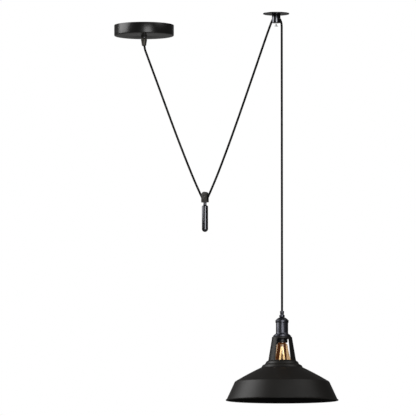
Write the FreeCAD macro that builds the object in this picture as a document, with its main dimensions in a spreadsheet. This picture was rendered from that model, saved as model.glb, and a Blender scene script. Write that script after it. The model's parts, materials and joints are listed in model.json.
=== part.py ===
import FreeCAD
import Part
import math
import os
import Sketcher

# A rise and fall pendant lamp. The origin is the middle of the canopy on the ceiling, +Z points up, and +X
# runs from the canopy to the cord guide. The cord hangs in the XZ plane: down from the canopy, under the
# weighted pulley, up to the guide, over it, and down to the lamp. Millimetres and degrees.

SIZES = {
    # layout
    "guide_distance": 537.0,
    "lamp_distance": 559.0,
    "weight_distance": 250.0,
    "axle_depth": 573.5,
    "lamp_depth": 958.5,
    # cord and wires
    "cord_diameter": 7.0,
    "cord_play": 0.1,
    "wire_diameter": 2.0,
    "lead_outer_offset": 0.3,
    "lead_middle_offset": 0.5,
    "lead_side_offset": 1.3,
    "lead_rise": 4.5,
    "lead_rise_step": 1.6,
    "lead_bow_distance": 13.0,
    "lead_bow_pitch": 3.5,
    "lead_bow_height": 10.0,
    "lead_bow_height_step": 1.2,
    "lead_bow_depth": 9.0,
    "lead_bow_depth_step": 1.8,
    "lead_stand": 12.0,
    "lead_insertion": 4.0,
    "lead_first_bend": 3.2,
    "lead_bend": 5.0,
    # fits
    "running_clearance": 0.05,
    "side_clearance": 0.15,
    "free_gap": 0.4,
    # canopy
    "canopy_diameter": 195.0,
    "canopy_height": 35.0,
    "canopy_wall": 1.5,
    "canopy_edge_radius": 2.5,
    "bracket_width": 24.0,
    "bracket_thickness": 2.0,
    "bracket_leg_height": 14.0,
    "bracket_end_gap": 1.5,
    "slot_spacing": 120.0,
    "slot_length": 14.0,
    "slot_width": 4.5,
    "supply_hole_diameter": 16.0,
    "canopy_screw_diameter": 4.0,
    "canopy_screw_depth": 8.0,
    "canopy_screw_length": 8.0,
    "nipple_diameter": 10.0,
    "nipple_bore": 7.4,
    "nipple_stand": 7.0,
    "washer_diameter": 20.0,
    "washer_thickness": 1.0,
    "nut_across_flats": 14.0,
    "nut_thickness": 3.0,
    # terminal block
    "terminal_middle": -34.0,
    "terminal_pitch": 9.0,
    "terminal_length": 17.0,
    "terminal_height": 13.0,
    "terminal_sleeve_diameter": 5.0,
    "terminal_sleeve_bore": 3.0,
    "terminal_screw_diameter": 2.6,
    "terminal_screw_spacing": 9.0,
    "terminal_screw_length": 5.0,
    "earth_screw_place": 34.0,
    "earth_screw_diameter": 4.0,
    "earth_head_diameter": 7.5,
    "earth_head_thickness": 2.6,
    # knuckle and canopy cord grip
    "knuckle_turn": 49.0,
    "pivot_drop": 5.0,
    "yoke_diameter": 20.0,
    "yoke_base": 1.6,
    "ear_radius": 6.2,
    "ear_thickness": 2.3,
    "lug_thickness": 3.2,
    "lug_radius": 3.2,
    "lug_width": 13.6,
    "lug_step": 1.5,
    "pivot_screw_diameter": 3.0,
    "pivot_head_diameter": 5.6,
    "pivot_head_thickness": 1.4,
    "grip_length": 28.5,
    "grip_top_diameter": 20.0,
    "grip_foot_diameter": 14.2,
    "grip_mouth_diameter": 9.0,
    "grip_chamfer": 2.2,
    "set_screw_diameter": 3.0,
    "set_screw_drop": 18.0,
    # cord guide
    "plate_diameter": 84.0,
    "plate_thickness": 3.0,
    "plate_edge_radius": 1.0,
    "stud_hole_diameter": 6.4,
    "stud_thread_diameter": 5.0,
    "stud_thread_depth": 5.0,
    "body_diameter": 27.6,
    "body_height": 28.2,
    "body_edge_radius": 1.2,
    "passage_bend_radius": 19.5,
    "passage_depth": 13.5,
    "passage_clearance": 0.4,
    "entry_bend_radius": 39.0,
    "clamp_diameter": 5.0,
    "pad_thickness": 2.0,
    "clamp_stand": 3.4,
    "thumb_height": 8.0,
    "thumb_neck_diameter": 3.6,
    "thumb_diameter": 10.8,
    "thumb_edge_radius": 1.0,
    "thumb_lip_height": 2.2,
    "thumb_lip_taper": 0.3,
    # pulley block and counterweight
    "block_width": 21.9,
    "block_thickness": 12.0,
    "block_crown_rise": 2.9,
    "block_foot_drop": 20.5,
    "slot_gap": 7.8,
    "wrap_radius": 12.5,
    "wrap_half_angle": 60.0,
    "cord_gap": 0.3,
    "sheave_rim_radius": 10.7,
    "axle_diameter": 5.0,
    "axle_recess": 0.6,
    "collar_height": 10.0,
    "collar_diameter": 11.0,
    "stud_diameter": 6.0,
    "stud_grip": 8.0,
    "weight_height": 86.0,
    "weight_diameter": 20.0,
    "weight_shoulder": 3.0,
    # lamp cord grip
    "lamp_grip_upper_diameter": 13.2,
    "lamp_grip_upper_height": 8.0,
    "lamp_grip_waist_diameter": 12.0,
    "lamp_grip_waist_height": 4.5,
    "lamp_grip_foot_diameter": 17.6,
    "lamp_grip_foot_height": 8.5,
    # lampholder
    "holder_wall": 1.2,
    "cap_height": 8.0,
    "cap_crown_radius": 26.0,
    "band_height": 9.0,
    "band_diameter": 42.4,
    "shell_height": 32.0,
    "shell_diameter": 39.2,
    "flare_height": 6.5,
    "flare_diameter": 49.6,
    "ring_height": 6.5,
    "ring_diameter": 57.4,
    "ring_step_height": 2.0,
    "ring_nut_height": 4.4,
    "ring_nut_diameter": 46.0,
    "core_depth": 54.0,
    "core_height": 20.0,
    "insert_diameter": 35.4,
    "insert_length": 27.5,
    "insert_wall": 3.9,
    "insert_lip_radius": 2.5,
    "contact_height": 1.0,
    "lamp_terminal_place": 9.5,
    "lamp_terminal_width": 5.0,
    "lamp_terminal_height": 5.0,
    "centre_contact_diameter": 6.0,
    "side_contact_thickness": 0.4,
    "side_contact_width": 4.0,
    "side_contact_length": 12.0,
    "lead_spacing": 2.8,
    "lead_bend_radius": 1.4,
    "lead_end_depth": 2.0,
    # shade
    "shade_wall": 1.1,
    "neck_height": 75.5,
    "neck_top_diameter": 64.6,
    "neck_foot_diameter": 89.0,
    "neck_corner_radius": 3.0,
    "window_turn": 41.0,
    "window_count": 3,
    "window_top_width": 36.3,
    "window_foot_width": 49.0,
    "window_top_drop": 6.0,
    "window_foot_rise": 2.0,
    "step_one_tread": 6.0,
    "step_one_slope": 4.0,
    "step_one_riser": 7.5,
    "step_two_tread": 7.5,
    "step_two_slope": 3.6,
    "step_two_riser": 7.0,
    "riser_lean": 4.2,
    "cone_height": 45.0,
    "cone_bow_radius": 900.0,
    "knee_diameter": 301.0,
    "knee_radius": 9.0,
    "skirt_height": 57.0,
    "rim_diameter": 356.0,
    "rim_bead_diameter": 4.0,
    # bulb
    "end_contact_diameter": 8.0,
    "end_contact_height": 1.5,
    "insulator_drop": 4.0,
    "insulator_height": 2.5,
    "insulator_top_diameter": 10.0,
    "thread_turns": 5,
    "thread_root_flat": 0.3,
    "bulb_cap_diameter": 26.2,
    "bulb_cap_length": 27.0,
    "bulb_skirt_diameter": 24.6,
    "bulb_skirt_length": 20.0,
    "bulb_wall": 0.9,
    "bulb_neck_diameter": 32.4,
    "bulb_neck_length": 6.5,
    "bulb_cone_length": 49.0,
    "bulb_cone_bow_radius": 280.0,
    "bulb_cone_diameter": 55.2,
    "bulb_diameter": 64.0,
    "bulb_shoulder_radius": 88.1,
    "bulb_length": 142.0,
    "stem_diameter": 9.0,
    "stem_length": 13.0,
    "stem_edge_radius": 3.0,
    "filament_count": 4,
    "filament_turn": 67.0,
    "filament_diameter": 2.4,
    "filament_length": 62.0,
    "filament_top_circle": 4.0,
    "filament_foot_circle": 26.0,
    "support_diameter": 0.8,
}


class Size:
    """A length, angle or count with its value and the expression that gives it."""

    def __init__(self, value, text):
        self.value = float(value)
        self.text = text

    def __add__(self, other):
        other = as_size(other)
        return Size(self.value + other.value, f"({self.text} + {other.text})")

    def __sub__(self, other):
        other = as_size(other)
        return Size(self.value - other.value, f"({self.text} - {other.text})")

    def __mul__(self, other):
        other = as_size(other)
        return Size(self.value * other.value, f"({self.text} * {other.text})")

    def __truediv__(self, other):
        other = as_size(other)
        return Size(self.value / other.value, f"({self.text} / {other.text})")

    def __neg__(self):
        return Size(-self.value, f"(-1 * {self.text})")

    def __radd__(self, other):
        return as_size(other) + self

    def __rsub__(self, other):
        return as_size(other) - self

    def __rmul__(self, other):
        return as_size(other) * self


def as_size(number):
    """Returns a plain number as a Size with itself as expression."""
    return number if isinstance(number, Size) else Size(number, repr(float(number)))


class Dimensions:
    """The driving dimensions: a spreadsheet's cells, each read by its alias."""

    def __init__(self, document, sizes):
        sheet = document.addObject("Spreadsheet::Sheet", "Dimensions")
        for row, (name, value) in enumerate(sizes.items(), start=1):
            sheet.set(f"A{row}", name)
            sheet.set(f"B{row}", str(value))
            sheet.setAlias(f"B{row}", name)
            setattr(self, name, Size(value, f"Dimensions.{name}"))


doc = FreeCAD.newDocument("rise_and_fall_pendant")
dim = Dimensions(doc, SIZES)
doc.recompute()
sub_parts = []
helper_count = 0


# ---------------------------------------------------------------- places that several pieces share

canopy_floor = -dim.canopy_height
canopy_inside_floor = canopy_floor + dim.canopy_wall
pivot_level = canopy_floor - dim.pivot_drop
plate_underside = -dim.plate_thickness
body_foot = plate_underside - dim.body_height
passage_centre_level = -dim.passage_depth - dim.passage_bend_radius
axle_level = -dim.axle_depth
block_foot = axle_level - dim.block_foot_drop
weight_top = block_foot - dim.collar_height
lamp_top = -dim.lamp_depth
lamp_grip_foot = (
    lamp_top - dim.lamp_grip_upper_height - dim.lamp_grip_waist_height - dim.lamp_grip_foot_height
)
cap_foot = lamp_grip_foot - dim.cap_height
band_foot = cap_foot - dim.band_height
shell_foot = band_foot - dim.shell_height
flare_foot = shell_foot - dim.flare_height
neck_top = flare_foot - dim.ring_height
neck_foot = neck_top - dim.neck_height
core_top = lamp_top - dim.core_depth
core_foot = core_top - dim.core_height
cord_radius = dim.cord_diameter / 2
nipple_radius = dim.nipple_diameter / 2
cap_top_level = core_foot - dim.contact_height
bulb_foot = cap_top_level - dim.bulb_length


# ---------------------------------------------------------------- making features


def register(feature, label):
    """Names a finished sub-part and keeps it for the export."""
    feature.Label = label
    sub_parts.append(feature)
    return feature


def helper_name(stem):
    """Returns a new name for an object that is only an input to another."""
    global helper_count
    helper_count += 1
    return f"{stem}_{helper_count}"


def bind(feature, prop, size):
    """Sets a property to a size and ties it to the size's expression."""
    size = as_size(size)
    if prop in feature.PropertiesList:
        setattr(feature, prop, size.value)
    feature.setExpression(prop, size.text)


def place(feature, x=0.0, y=0.0, z=0.0, axis=(0, 0, 1), angle=0.0):
    """Puts a feature at a place made of sizes, turned about one axis."""
    x, y, z, angle = as_size(x), as_size(y), as_size(z), as_size(angle)
    feature.Placement = FreeCAD.Placement(
        FreeCAD.Vector(x.value, y.value, z.value),
        FreeCAD.Rotation(FreeCAD.Vector(*axis), angle.value),
    )
    for letter, size in (("x", x), ("y", y), ("z", z)):
        feature.setExpression(f"Placement.Base.{letter}", size.text)
    if angle.text.find("Dimensions") >= 0:
        feature.setExpression("Placement.Rotation.Angle", angle.text)
    return feature


def cylinder(radius, height, x=0.0, y=0.0, z=0.0, axis=(0, 0, 1), angle=0.0):
    """A solid cylinder that rises from its place along +Z before it is turned."""
    feature = doc.addObject("Part::Cylinder", helper_name("Cylinder"))
    bind(feature, "Radius", radius)
    bind(feature, "Height", height)
    return place(feature, x, y, z, axis, angle)


def cone(foot_radius, top_radius, height, x=0.0, y=0.0, z=0.0):
    """A solid cone or taper that rises from its place along +Z."""
    feature = doc.addObject("Part::Cone", helper_name("Cone"))
    bind(feature, "Radius1", foot_radius)
    bind(feature, "Radius2", top_radius)
    bind(feature, "Height", height)
    return place(feature, x, y, z)


def box(length, width, height, x=0.0, y=0.0, z=0.0):
    """A solid box centred on its place in X and Y, rising from it along +Z."""
    length, width, height = as_size(length), as_size(width), as_size(height)
    feature = doc.addObject("Part::Box", helper_name("Box"))
    bind(feature, "Length", length)
    bind(feature, "Width", width)
    bind(feature, "Height", height)
    return place(feature, as_size(x) - length / 2, as_size(y) - width / 2, z)


def hexagon(across_flats, height, x=0.0, y=0.0, z=0.0):
    """A solid hexagonal prism that rises from its place along +Z."""
    feature = doc.addObject("Part::Prism", helper_name("Prism"))
    feature.Polygon = 6
    bind(feature, "Circumradius", across_flats / math.sqrt(3.0))
    bind(feature, "Height", height)
    return place(feature, x, y, z)


def ring(outer_radius, inner_radius, height, x=0.0, y=0.0, z=0.0):
    """A round ring or tube that rises from its place along +Z."""
    height = as_size(height)
    outer = cylinder(outer_radius, height, x, y, z)
    inner = cylinder(inner_radius, height + 2, x, y, as_size(z) - 1)
    return cut(outer, inner)


def fuse(*shapes):
    """The union of several features."""
    feature = doc.addObject("Part::MultiFuse", helper_name("Fuse"))
    feature.Shapes = list(shapes)
    return feature


def cut(base, *tools):
    """A feature less one or more others."""
    feature = doc.addObject("Part::Cut", helper_name("Cut"))
    feature.Base = base
    feature.Tool = tools[0] if len(tools) == 1 else fuse(*tools)
    return feature


def group(*shapes):
    """Several separate solids as one sub-part."""
    feature = doc.addObject("Part::Compound", helper_name("Group"))
    feature.Links = list(shapes)
    return feature


def body_plane(body, role):
    """Finds an origin plane or axis of a body by its role."""
    return next(item for item in body.Origin.OriginFeatures if item.Role == role)


def arc(x, z, radius, side):
    """An outline step that reaches (x, z) on an arc with its centre to one side of the way there."""
    return (as_size(x), as_size(z), as_size(radius), side)


def arc_centre(start, end, radius, side):
    """Returns the centre of an arc between two points of the sketch."""
    chord = end - start
    middle = (start + end) * 0.5
    height = math.sqrt(max(radius**2 - (chord.Length / 2) ** 2, 0.0))
    normal = FreeCAD.Vector(-chord.y, chord.x, 0).normalize()
    return middle + normal * (height if side == "left" else -height)


def arc_curve(start, end, radius, side):
    """Returns the sketch arc between two points, which always runs anticlockwise."""
    centre = arc_centre(start, end, radius, side)
    first, last = (start, end) if side == "left" else (end, start)
    angles = [math.atan2(point.y - centre.y, point.x - centre.x) for point in (first, last)]
    circle = Part.Circle(centre, FreeCAD.Vector(0, 0, 1), radius)
    return Part.ArcOfCircle(circle, angles[0], angles[1])


def hold_point(sketch, geometry, vertex, x, z):
    """Holds a vertex at its distances from the sketch's origin."""
    for kind, size in (("DistanceX", x), ("DistanceY", z)):
        index = sketch.addConstraint(Sketcher.Constraint(kind, -1, 1, geometry, vertex, size.value))
        if size.text.find("Dimensions") >= 0:
            sketch.setExpression(f"Constraints[{index}]", size.text)


def draw_outline(sketch, steps):
    """Draws a closed outline. A step is a corner (x, z) or an arc to one, and the first is a corner."""
    steps = [(*map(as_size, step[:3]), *step[3:]) for step in steps]
    points = [FreeCAD.Vector(step[0].value, step[1].value, 0) for step in steps]
    count = len(steps)
    starts, ends = [], []
    for index in range(count):
        target = steps[(index + 1) % count]
        start, end = points[index], points[(index + 1) % count]
        if len(target) == 2:
            geometry = sketch.addGeometry(Part.LineSegment(start, end), False)
            starts.append((geometry, 1))
            ends.append((geometry, 2))
        else:
            geometry = sketch.addGeometry(arc_curve(start, end, target[2].value, target[3]), False)
            starts.append((geometry, 1 if target[3] == "left" else 2))
            ends.append((geometry, 2 if target[3] == "left" else 1))
    for index in range(count):
        after = (index + 1) % count
        sketch.addConstraint(Sketcher.Constraint("Coincident", *ends[index], *starts[after]))
        hold_point(sketch, *starts[index], steps[index][0], steps[index][1])
    for index in range(count):
        target = steps[(index + 1) % count]
        if len(target) == 4:
            constraint = Sketcher.Constraint("Radius", starts[index][0], target[2].value)
            sketch.setExpression(f"Constraints[{sketch.addConstraint(constraint)}]", target[2].text)


def draw_circle(sketch, x, z, radius):
    """Draws a circle held by its centre's distances and its radius."""
    x, z, radius = as_size(x), as_size(z), as_size(radius)
    circle = Part.Circle(FreeCAD.Vector(x.value, z.value, 0), FreeCAD.Vector(0, 0, 1), radius.value)
    geometry = sketch.addGeometry(circle, False)
    hold_point(sketch, geometry, 3, x, z)
    index = sketch.addConstraint(Sketcher.Constraint("Radius", geometry, radius.value))
    sketch.setExpression(f"Constraints[{index}]", radius.text)


def new_body(name):
    """Makes an empty body."""
    return doc.addObject("PartDesign::Body", "Body_" + name)


def new_sketch(body, name, role):
    """Makes a sketch on one of a body's origin planes."""
    sketch = body.newObject("Sketcher::SketchObject", f"{name}_sketch")
    sketch.AttachmentSupport = (body_plane(body, role), "")
    sketch.MapMode = "FlatFace"
    return sketch


def turned_body(name, steps):
    """A body turned about its own Z axis from an outline in its XZ plane."""
    body = new_body(name)
    sketch = new_sketch(body, name + "_profile", "XZ_Plane")
    draw_outline(sketch, steps)
    turn = body.newObject("PartDesign::Revolution", name + "_turn")
    turn.Profile = sketch
    turn.ReferenceAxis = (sketch, ["V_Axis"])
    turn.Angle = 360
    sketch.Visibility = False
    return body


def turned(label, steps, x=0.0, y=0.0, z=0.0, axis=(0, 0, 1), angle=0.0):
    """A finished sub-part turned from an outline and put in its place."""
    return register(place(turned_body(label, steps), x, y, z, axis, angle), label)


def pad(body, name, role, draw, length, both_ways=True):
    """Adds a padded sketch to a body."""
    sketch = new_sketch(body, name, role)
    draw(sketch)
    feature = body.newObject("PartDesign::Pad", name)
    feature.Profile = sketch
    if both_ways:
        feature.SideType = "Symmetric"
    bind(feature, "Length", length)
    return feature


def pocket(body, name, role, draw, length=None, reverse=False):
    """Cuts a sketch out of a body: both ways through it, or to a length on one side."""
    sketch = new_sketch(body, name, role)
    draw(sketch)
    feature = body.newObject("PartDesign::Pocket", name)
    feature.Profile = sketch
    if length is None:
        feature.Type = "ThroughAll"
        feature.SideType = "Symmetric"
    else:
        bind(feature, "Length", length)
        feature.Reversed = reverse
    return feature


def fillet(x, z, radius, along, towards):
    """Two outline steps that round a square corner, with the unit ways in and out of it."""
    x, z, radius = as_size(x), as_size(z), as_size(radius)
    side = "left" if along[0] * towards[1] - along[1] * towards[0] > 0 else "right"
    start = (x - radius * along[0], z - radius * along[1])
    return [start, arc(x + radius * towards[0], z + radius * towards[1], radius, side)]


DOWN, UP, OUT, IN = (0, -1), (0, 1), (1, 0), (-1, 0)


# ---------------------------------------------------------------- cords and wires


def rounded_path(points, radii):
    """Straight runs joined by tangent arcs, one radius for each inner point, as edges."""
    edges = []
    start = points[0]
    for index in range(1, len(points) - 1):
        corner = points[index]
        inward = (points[index - 1] - corner).normalize()
        outward = (points[index + 1] - corner).normalize()
        half_turn = (math.pi - inward.getAngle(outward)) / 2
        reach = radii[index - 1] * math.tan(half_turn)
        first = corner + inward * reach
        last = corner + outward * reach
        bisector = (inward + outward).normalize()
        centre = corner + bisector * (radii[index - 1] / math.cos(half_turn))
        middle = centre - bisector * radii[index - 1]
        if (first - start).Length > 1e-6:
            edges.append(Part.LineSegment(start, first).toShape())
        edges.append(Part.Arc(first, middle, last).toShape())
        start = last
    if (points[-1] - start).Length > 1e-6:
        edges.append(Part.LineSegment(start, points[-1]).toShape())
    return edges


def widest_radii(points):
    """The largest arcs that the runs beside each inner point allow."""
    radii = []
    for before, corner, after in zip(points, points[1:], points[2:]):
        half_turn = (math.pi - (before - corner).getAngle(after - corner)) / 2
        shorter = min((before - corner).Length, (after - corner).Length)
        radii.append(0.45 * shorter / math.tan(half_turn))
    return radii


def tube(edges, radius):
    """A round solid swept along a chain of edges."""
    wire = Part.Wire(edges)
    start = wire.Edges[0].valueAt(wire.Edges[0].FirstParameter)
    direction = wire.Edges[0].tangentAt(wire.Edges[0].FirstParameter)
    section = Part.Wire([Part.Circle(start, direction, radius).toShape()])
    return wire.makePipeShell([section], True, False)


def shape_part(label, shape):
    """A finished sub-part whose shape is made from curves."""
    feature = doc.addObject("Part::Feature", "Shape_" + label)
    feature.Shape = shape
    return register(feature, label)


def cord_part(label, edges):
    """A stretch of the cord, with its volume compared with its section times its length."""
    solid = tube(edges, cord_radius.value)
    length = sum(edge.Length for edge in edges)
    expected = math.pi * cord_radius.value**2 * length
    radii = [round(edge.Curve.Radius) for edge in edges if hasattr(edge.Curve, "Radius")]
    print(f"{label}: length {length:.1f}, volume ratio {solid.Volume / expected:.4f}, radii {radii}")
    return shape_part(label, solid)


def at(x, z, y=0.0):
    """A point of the XZ plane, or beside it."""
    return FreeCAD.Vector(x, y, z)


# ---------------------------------------------------------------- canopy


def make_ceiling_bracket():
    """A strap with its ends bent down, two slots for ceiling screws and a hole for the supply cable."""
    body = new_body("ceiling_bracket")
    reach = dim.canopy_diameter / 2 - dim.canopy_wall - dim.bracket_end_gap
    inner = reach - dim.bracket_thickness
    under = -dim.bracket_thickness
    leg_foot = -dim.bracket_leg_height

    def strap(sketch):
        steps = [
            (-reach, 0),
            (-reach, leg_foot),
            (-inner, leg_foot),
            (-inner, under),
            (inner, under),
            (inner, leg_foot),
            (reach, leg_foot),
            (reach, 0),
        ]
        draw_outline(sketch, steps)

    def holes(sketch):
        straight = (dim.slot_length - dim.slot_width) / 2
        half = dim.slot_width / 2
        for side in (-1, 1):
            middle = dim.slot_spacing * (side / 2)
            steps = [
                (middle - straight, -half),
                (middle + straight, -half),
                arc(middle + straight, half, half, "left"),
                (middle - straight, half),
            ]
            draw_slot(sketch, steps, half)
        draw_circle(sketch, 0, 0, dim.supply_hole_diameter / 2)
        draw_circle(sketch, dim.earth_screw_place, 0, dim.earth_screw_diameter / 2)

    pad(body, "strap", "XZ_Plane", strap, dim.bracket_width)
    doc.recompute()
    pocket(body, "bracket_holes", "XY_Plane", holes)

    def leg_holes(sketch):
        draw_circle(sketch, 0, -dim.canopy_screw_depth, dim.canopy_screw_diameter / 2)

    pocket(body, "bracket_leg_holes", "YZ_Plane", leg_holes)
    register(place(body), "ceiling_bracket")


def draw_slot(sketch, steps, radius):
    """Draws a slot: two straight sides and two half-round ends."""
    points = [FreeCAD.Vector(step[0].value, step[1].value, 0) for step in steps]
    geometry = [
        sketch.addGeometry(Part.LineSegment(points[0], points[1]), False),
        sketch.addGeometry(arc_curve(points[1], points[2], radius.value, "left"), False),
        sketch.addGeometry(Part.LineSegment(points[2], points[3]), False),
        sketch.addGeometry(arc_curve(points[3], points[0], radius.value, "left"), False),
    ]
    for index in range(4):
        constraint = Sketcher.Constraint("Coincident", geometry[index], 2, geometry[(index + 1) % 4], 1)
        sketch.addConstraint(constraint)
    for line, corner in ((geometry[0], 0), (geometry[2], 2)):
        hold_point(sketch, line, 1, steps[corner][0], steps[corner][1])
        hold_point(sketch, line, 2, steps[corner + 1][0], steps[corner + 1][1])
    for end, middle in ((geometry[1], steps[1][0]), (geometry[3], steps[0][0])):
        index = sketch.addConstraint(Sketcher.Constraint("DistanceX", -1, 1, end, 3, middle.value))
        sketch.setExpression(f"Constraints[{index}]", middle.text)


def make_canopy_cup():
    """The cup against the ceiling: open at the top, with a rounded lower edge and a hole for the nipple."""
    outer = dim.canopy_diameter / 2
    inner = outer - dim.canopy_wall
    hole = nipple_radius + dim.running_clearance
    edge = dim.canopy_edge_radius
    steps = [(hole, canopy_floor)]
    steps += fillet(outer, canopy_floor, edge, OUT, UP)
    steps += [(outer, 0), (inner, 0)]
    steps += fillet(inner, canopy_inside_floor, edge - dim.canopy_wall, DOWN, IN)
    steps += [(hole, canopy_inside_floor)]
    body = turned_body("canopy_cup", steps)
    doc.recompute()

    def screw_holes(sketch):
        radius = dim.canopy_screw_diameter / 2 + dim.running_clearance
        draw_circle(sketch, 0, -dim.canopy_screw_depth, radius)

    pocket(body, "cup_screw_holes", "YZ_Plane", screw_holes)
    register(place(body), "canopy_cup")


def make_canopy_screws():
    """Two grub screws through the cup's wall into the bracket's legs."""
    outer = dim.canopy_diameter / 2
    screws = []
    for side in (-1, 1):
        socket = dim.canopy_screw_diameter / 2
        screw = cylinder(
            dim.canopy_screw_diameter / 2,
            dim.canopy_screw_length,
            side * (outer - dim.canopy_screw_length if side > 0 else outer),
            0,
            -dim.canopy_screw_depth,
            (0, 1, 0),
            90,
        )
        recess = cylinder(
            socket * 0.5,
            socket,
            side * (outer - socket if side > 0 else outer),
            0,
            -dim.canopy_screw_depth,
            (0, 1, 0),
            90,
        )
        screws.append(cut(screw, recess))
    register(group(*screws), "canopy_screws")


def make_canopy_nipple():
    """The hollow threaded nipple that holds the knuckle under the cup, with its washer and lock nut."""
    base_underside = canopy_floor - dim.yoke_base
    nut_foot = canopy_inside_floor + dim.washer_thickness
    length = dim.yoke_base + dim.canopy_wall + dim.nipple_stand
    bore = dim.nipple_bore / 2
    thread = nipple_radius + dim.running_clearance
    register(ring(nipple_radius, bore, length, 0, 0, base_underside), "canopy_nipple")
    washer = ring(dim.washer_diameter / 2, thread, dim.washer_thickness, 0, 0, canopy_inside_floor)
    register(washer, "nipple_washer")
    blank = hexagon(dim.nut_across_flats, dim.nut_thickness, 0, 0, nut_foot)
    hole = cylinder(thread, dim.nut_thickness + 2, 0, 0, nut_foot - 1)
    register(cut(blank, hole), "nipple_nut")


def make_terminal_block():
    """The three-pole terminal block under the bracket, its brass sleeves and its screws."""
    top = -dim.bracket_thickness
    foot = top - dim.terminal_height
    sleeve_radius = dim.terminal_sleeve_diameter / 2
    sleeve_level = foot + dim.terminal_height / 2
    screw_radius = dim.terminal_screw_diameter / 2
    length = dim.terminal_length
    block = box(dim.terminal_pitch * 3, length, dim.terminal_height, dim.terminal_middle, 0, foot)
    waists, seats, sleeves, screws = [], [], [], []
    for between in (-0.5, 0.5):
        middle = dim.terminal_middle + dim.terminal_pitch * between
        waists.append(box(1.2, length + 2, 3.5, middle, 0, foot - 0.5))
    for pole in (-1, 0, 1):
        middle = dim.terminal_middle + dim.terminal_pitch * pole
        end = length / 2
        lying = (sleeve_level, (1, 0, 0), 90)
        seats.append(cylinder(sleeve_radius, length + 2, middle, end + 1, *lying))
        sleeve = cylinder(sleeve_radius, length, middle, end, *lying)
        bore = cylinder(dim.terminal_sleeve_bore / 2, length + 2, middle, end + 1, *lying)
        holes = []
        for side in (-0.5, 0.5):
            y = dim.terminal_screw_spacing * side
            seats.append(cylinder(screw_radius, dim.terminal_height / 2 + 1, middle, y, foot - 1))
            holes.append(cylinder(screw_radius, dim.terminal_height / 2, middle, y, foot))
            shank = cylinder(screw_radius, dim.terminal_screw_length, middle, y, foot + 0.5)
            slot = box(dim.terminal_screw_diameter + 1, 0.6, 1, middle, y, foot)
            screws.append(cut(shank, slot))
        sleeves.append(cut(sleeve, bore, *holes))
    register(cut(block, *waists, *seats), "terminal_block")
    register(group(*sleeves), "terminal_sleeves")
    register(group(*screws), "terminal_screws")


def make_earth_screw():
    """The earth screw and its nut on the bracket."""
    x = dim.earth_screw_place
    under = -dim.bracket_thickness
    radius = dim.earth_screw_diameter / 2
    shank = cylinder(radius, dim.bracket_thickness, x, 0, under)
    head = cylinder(
        dim.earth_head_diameter / 2, dim.earth_head_thickness, x, 0, under - dim.earth_head_thickness
    )
    slot = box(dim.earth_head_diameter + 1, 1, 1, x, 0, under - dim.earth_head_thickness)
    register(cut(fuse(shank, head), slot), "earth_screw")


def make_canopy_leads():
    """The live, neutral and earth cores from the cord's sheath to the terminal block's far side."""
    sheath_end = (canopy_floor + dim.canopy_wall + dim.nipple_stand).value
    block_side = (dim.terminal_length / 2).value
    entry_level = (dim.terminal_height * -0.5 - dim.bracket_thickness).value
    radius = dim.wire_diameter.value / 2
    wires = []
    for pole in (-1, 0, 1):
        x_end = (dim.terminal_middle + dim.terminal_pitch * pole).value
        x_start = (dim.lead_outer_offset if pole else -dim.lead_middle_offset).value
        start = at(x_start, sheath_end, (dim.lead_side_offset * pole).value)
        rise = (dim.lead_rise + dim.lead_rise_step * (pole + 1)).value
        bow_x = (dim.lead_bow_pitch * pole - dim.lead_bow_distance).value
        bow_z = sheath_end + (dim.lead_bow_height + dim.lead_bow_height_step * (pole + 1)).value
        bow_y = (dim.lead_bow_depth + dim.lead_bow_depth_step * (1 - pole)).value
        points = [
            start,
            start + FreeCAD.Vector(0, 0, rise),
            at(bow_x, bow_z, bow_y),
            at(x_end, entry_level, block_side + dim.lead_stand.value),
            at(x_end, entry_level, block_side - dim.lead_insertion.value),
        ]
        bends = [dim.lead_first_bend.value, dim.lead_bend.value, dim.lead_bend.value]
        wires.append(tube(rounded_path(points, bends), radius))
    shape_part("canopy_leads", Part.makeCompound(wires))


# ---------------------------------------------------------------- knuckle and canopy cord grip


def knuckle(feature):
    """Puts a piece built about the pivot in its place, with the pivot's axis turned to its bearing."""
    return place(feature, 0, 0, pivot_level, (0, 0, 1), dim.knuckle_turn)


lug_face = cord_radius + dim.cord_play + 0.2
lug_side = lug_face + dim.lug_thickness
ear_face = lug_side + dim.side_clearance
ear_side = ear_face + dim.ear_thickness
pivot_hole = dim.pivot_screw_diameter / 2 + dim.running_clearance


def make_yoke():
    """The knuckle's fixed half: a round base with two round-ended ears."""
    base_foot = dim.pivot_drop - dim.yoke_base
    base = cylinder(dim.yoke_diameter / 2, dim.yoke_base, 0, 0, base_foot)
    parts = [base]
    for side in (-1, 1):
        y = (ear_face + dim.ear_thickness / 2) * side
        parts.append(box(dim.ear_radius * 2, dim.ear_thickness, base_foot + 0.4, 0, y, 0))
        near = ear_face if side < 0 else ear_side
        parts.append(cylinder(dim.ear_radius, dim.ear_thickness, 0, near * side, 0, (1, 0, 0), 90))
    hole = cylinder(nipple_radius, dim.yoke_base + 2, 0, 0, base_foot - 1)
    pin_hole = cylinder(
        dim.pivot_screw_diameter / 2, dim.yoke_diameter * 2, 0, dim.yoke_diameter, 0, (1, 0, 0), 90
    )
    above = box(dim.yoke_diameter * 2, dim.yoke_diameter * 2, dim.ear_radius, 0, 0, dim.pivot_drop)
    yoke = cut(fuse(*parts), hole, pin_hole, above)
    register(knuckle(yoke), "knuckle_yoke")


def make_pivot_screws():
    """Two short screws through the ears: the grip's lugs turn on their ends."""
    screws = []
    for side in (-1, 1):
        tip = lug_face + 0.5
        length = ear_side - tip
        near = tip if side < 0 else ear_side
        shank = cylinder(dim.pivot_screw_diameter / 2, length, 0, near * side, 0, (1, 0, 0), 90)
        head_near = ear_side if side < 0 else ear_side + dim.pivot_head_thickness
        head = cylinder(
            dim.pivot_head_diameter / 2, dim.pivot_head_thickness, 0, head_near * side, 0, (1, 0, 0), 90
        )
        screws.append(fuse(shank, head))
    register(knuckle(group(*screws)), "pivot_screws")


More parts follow.
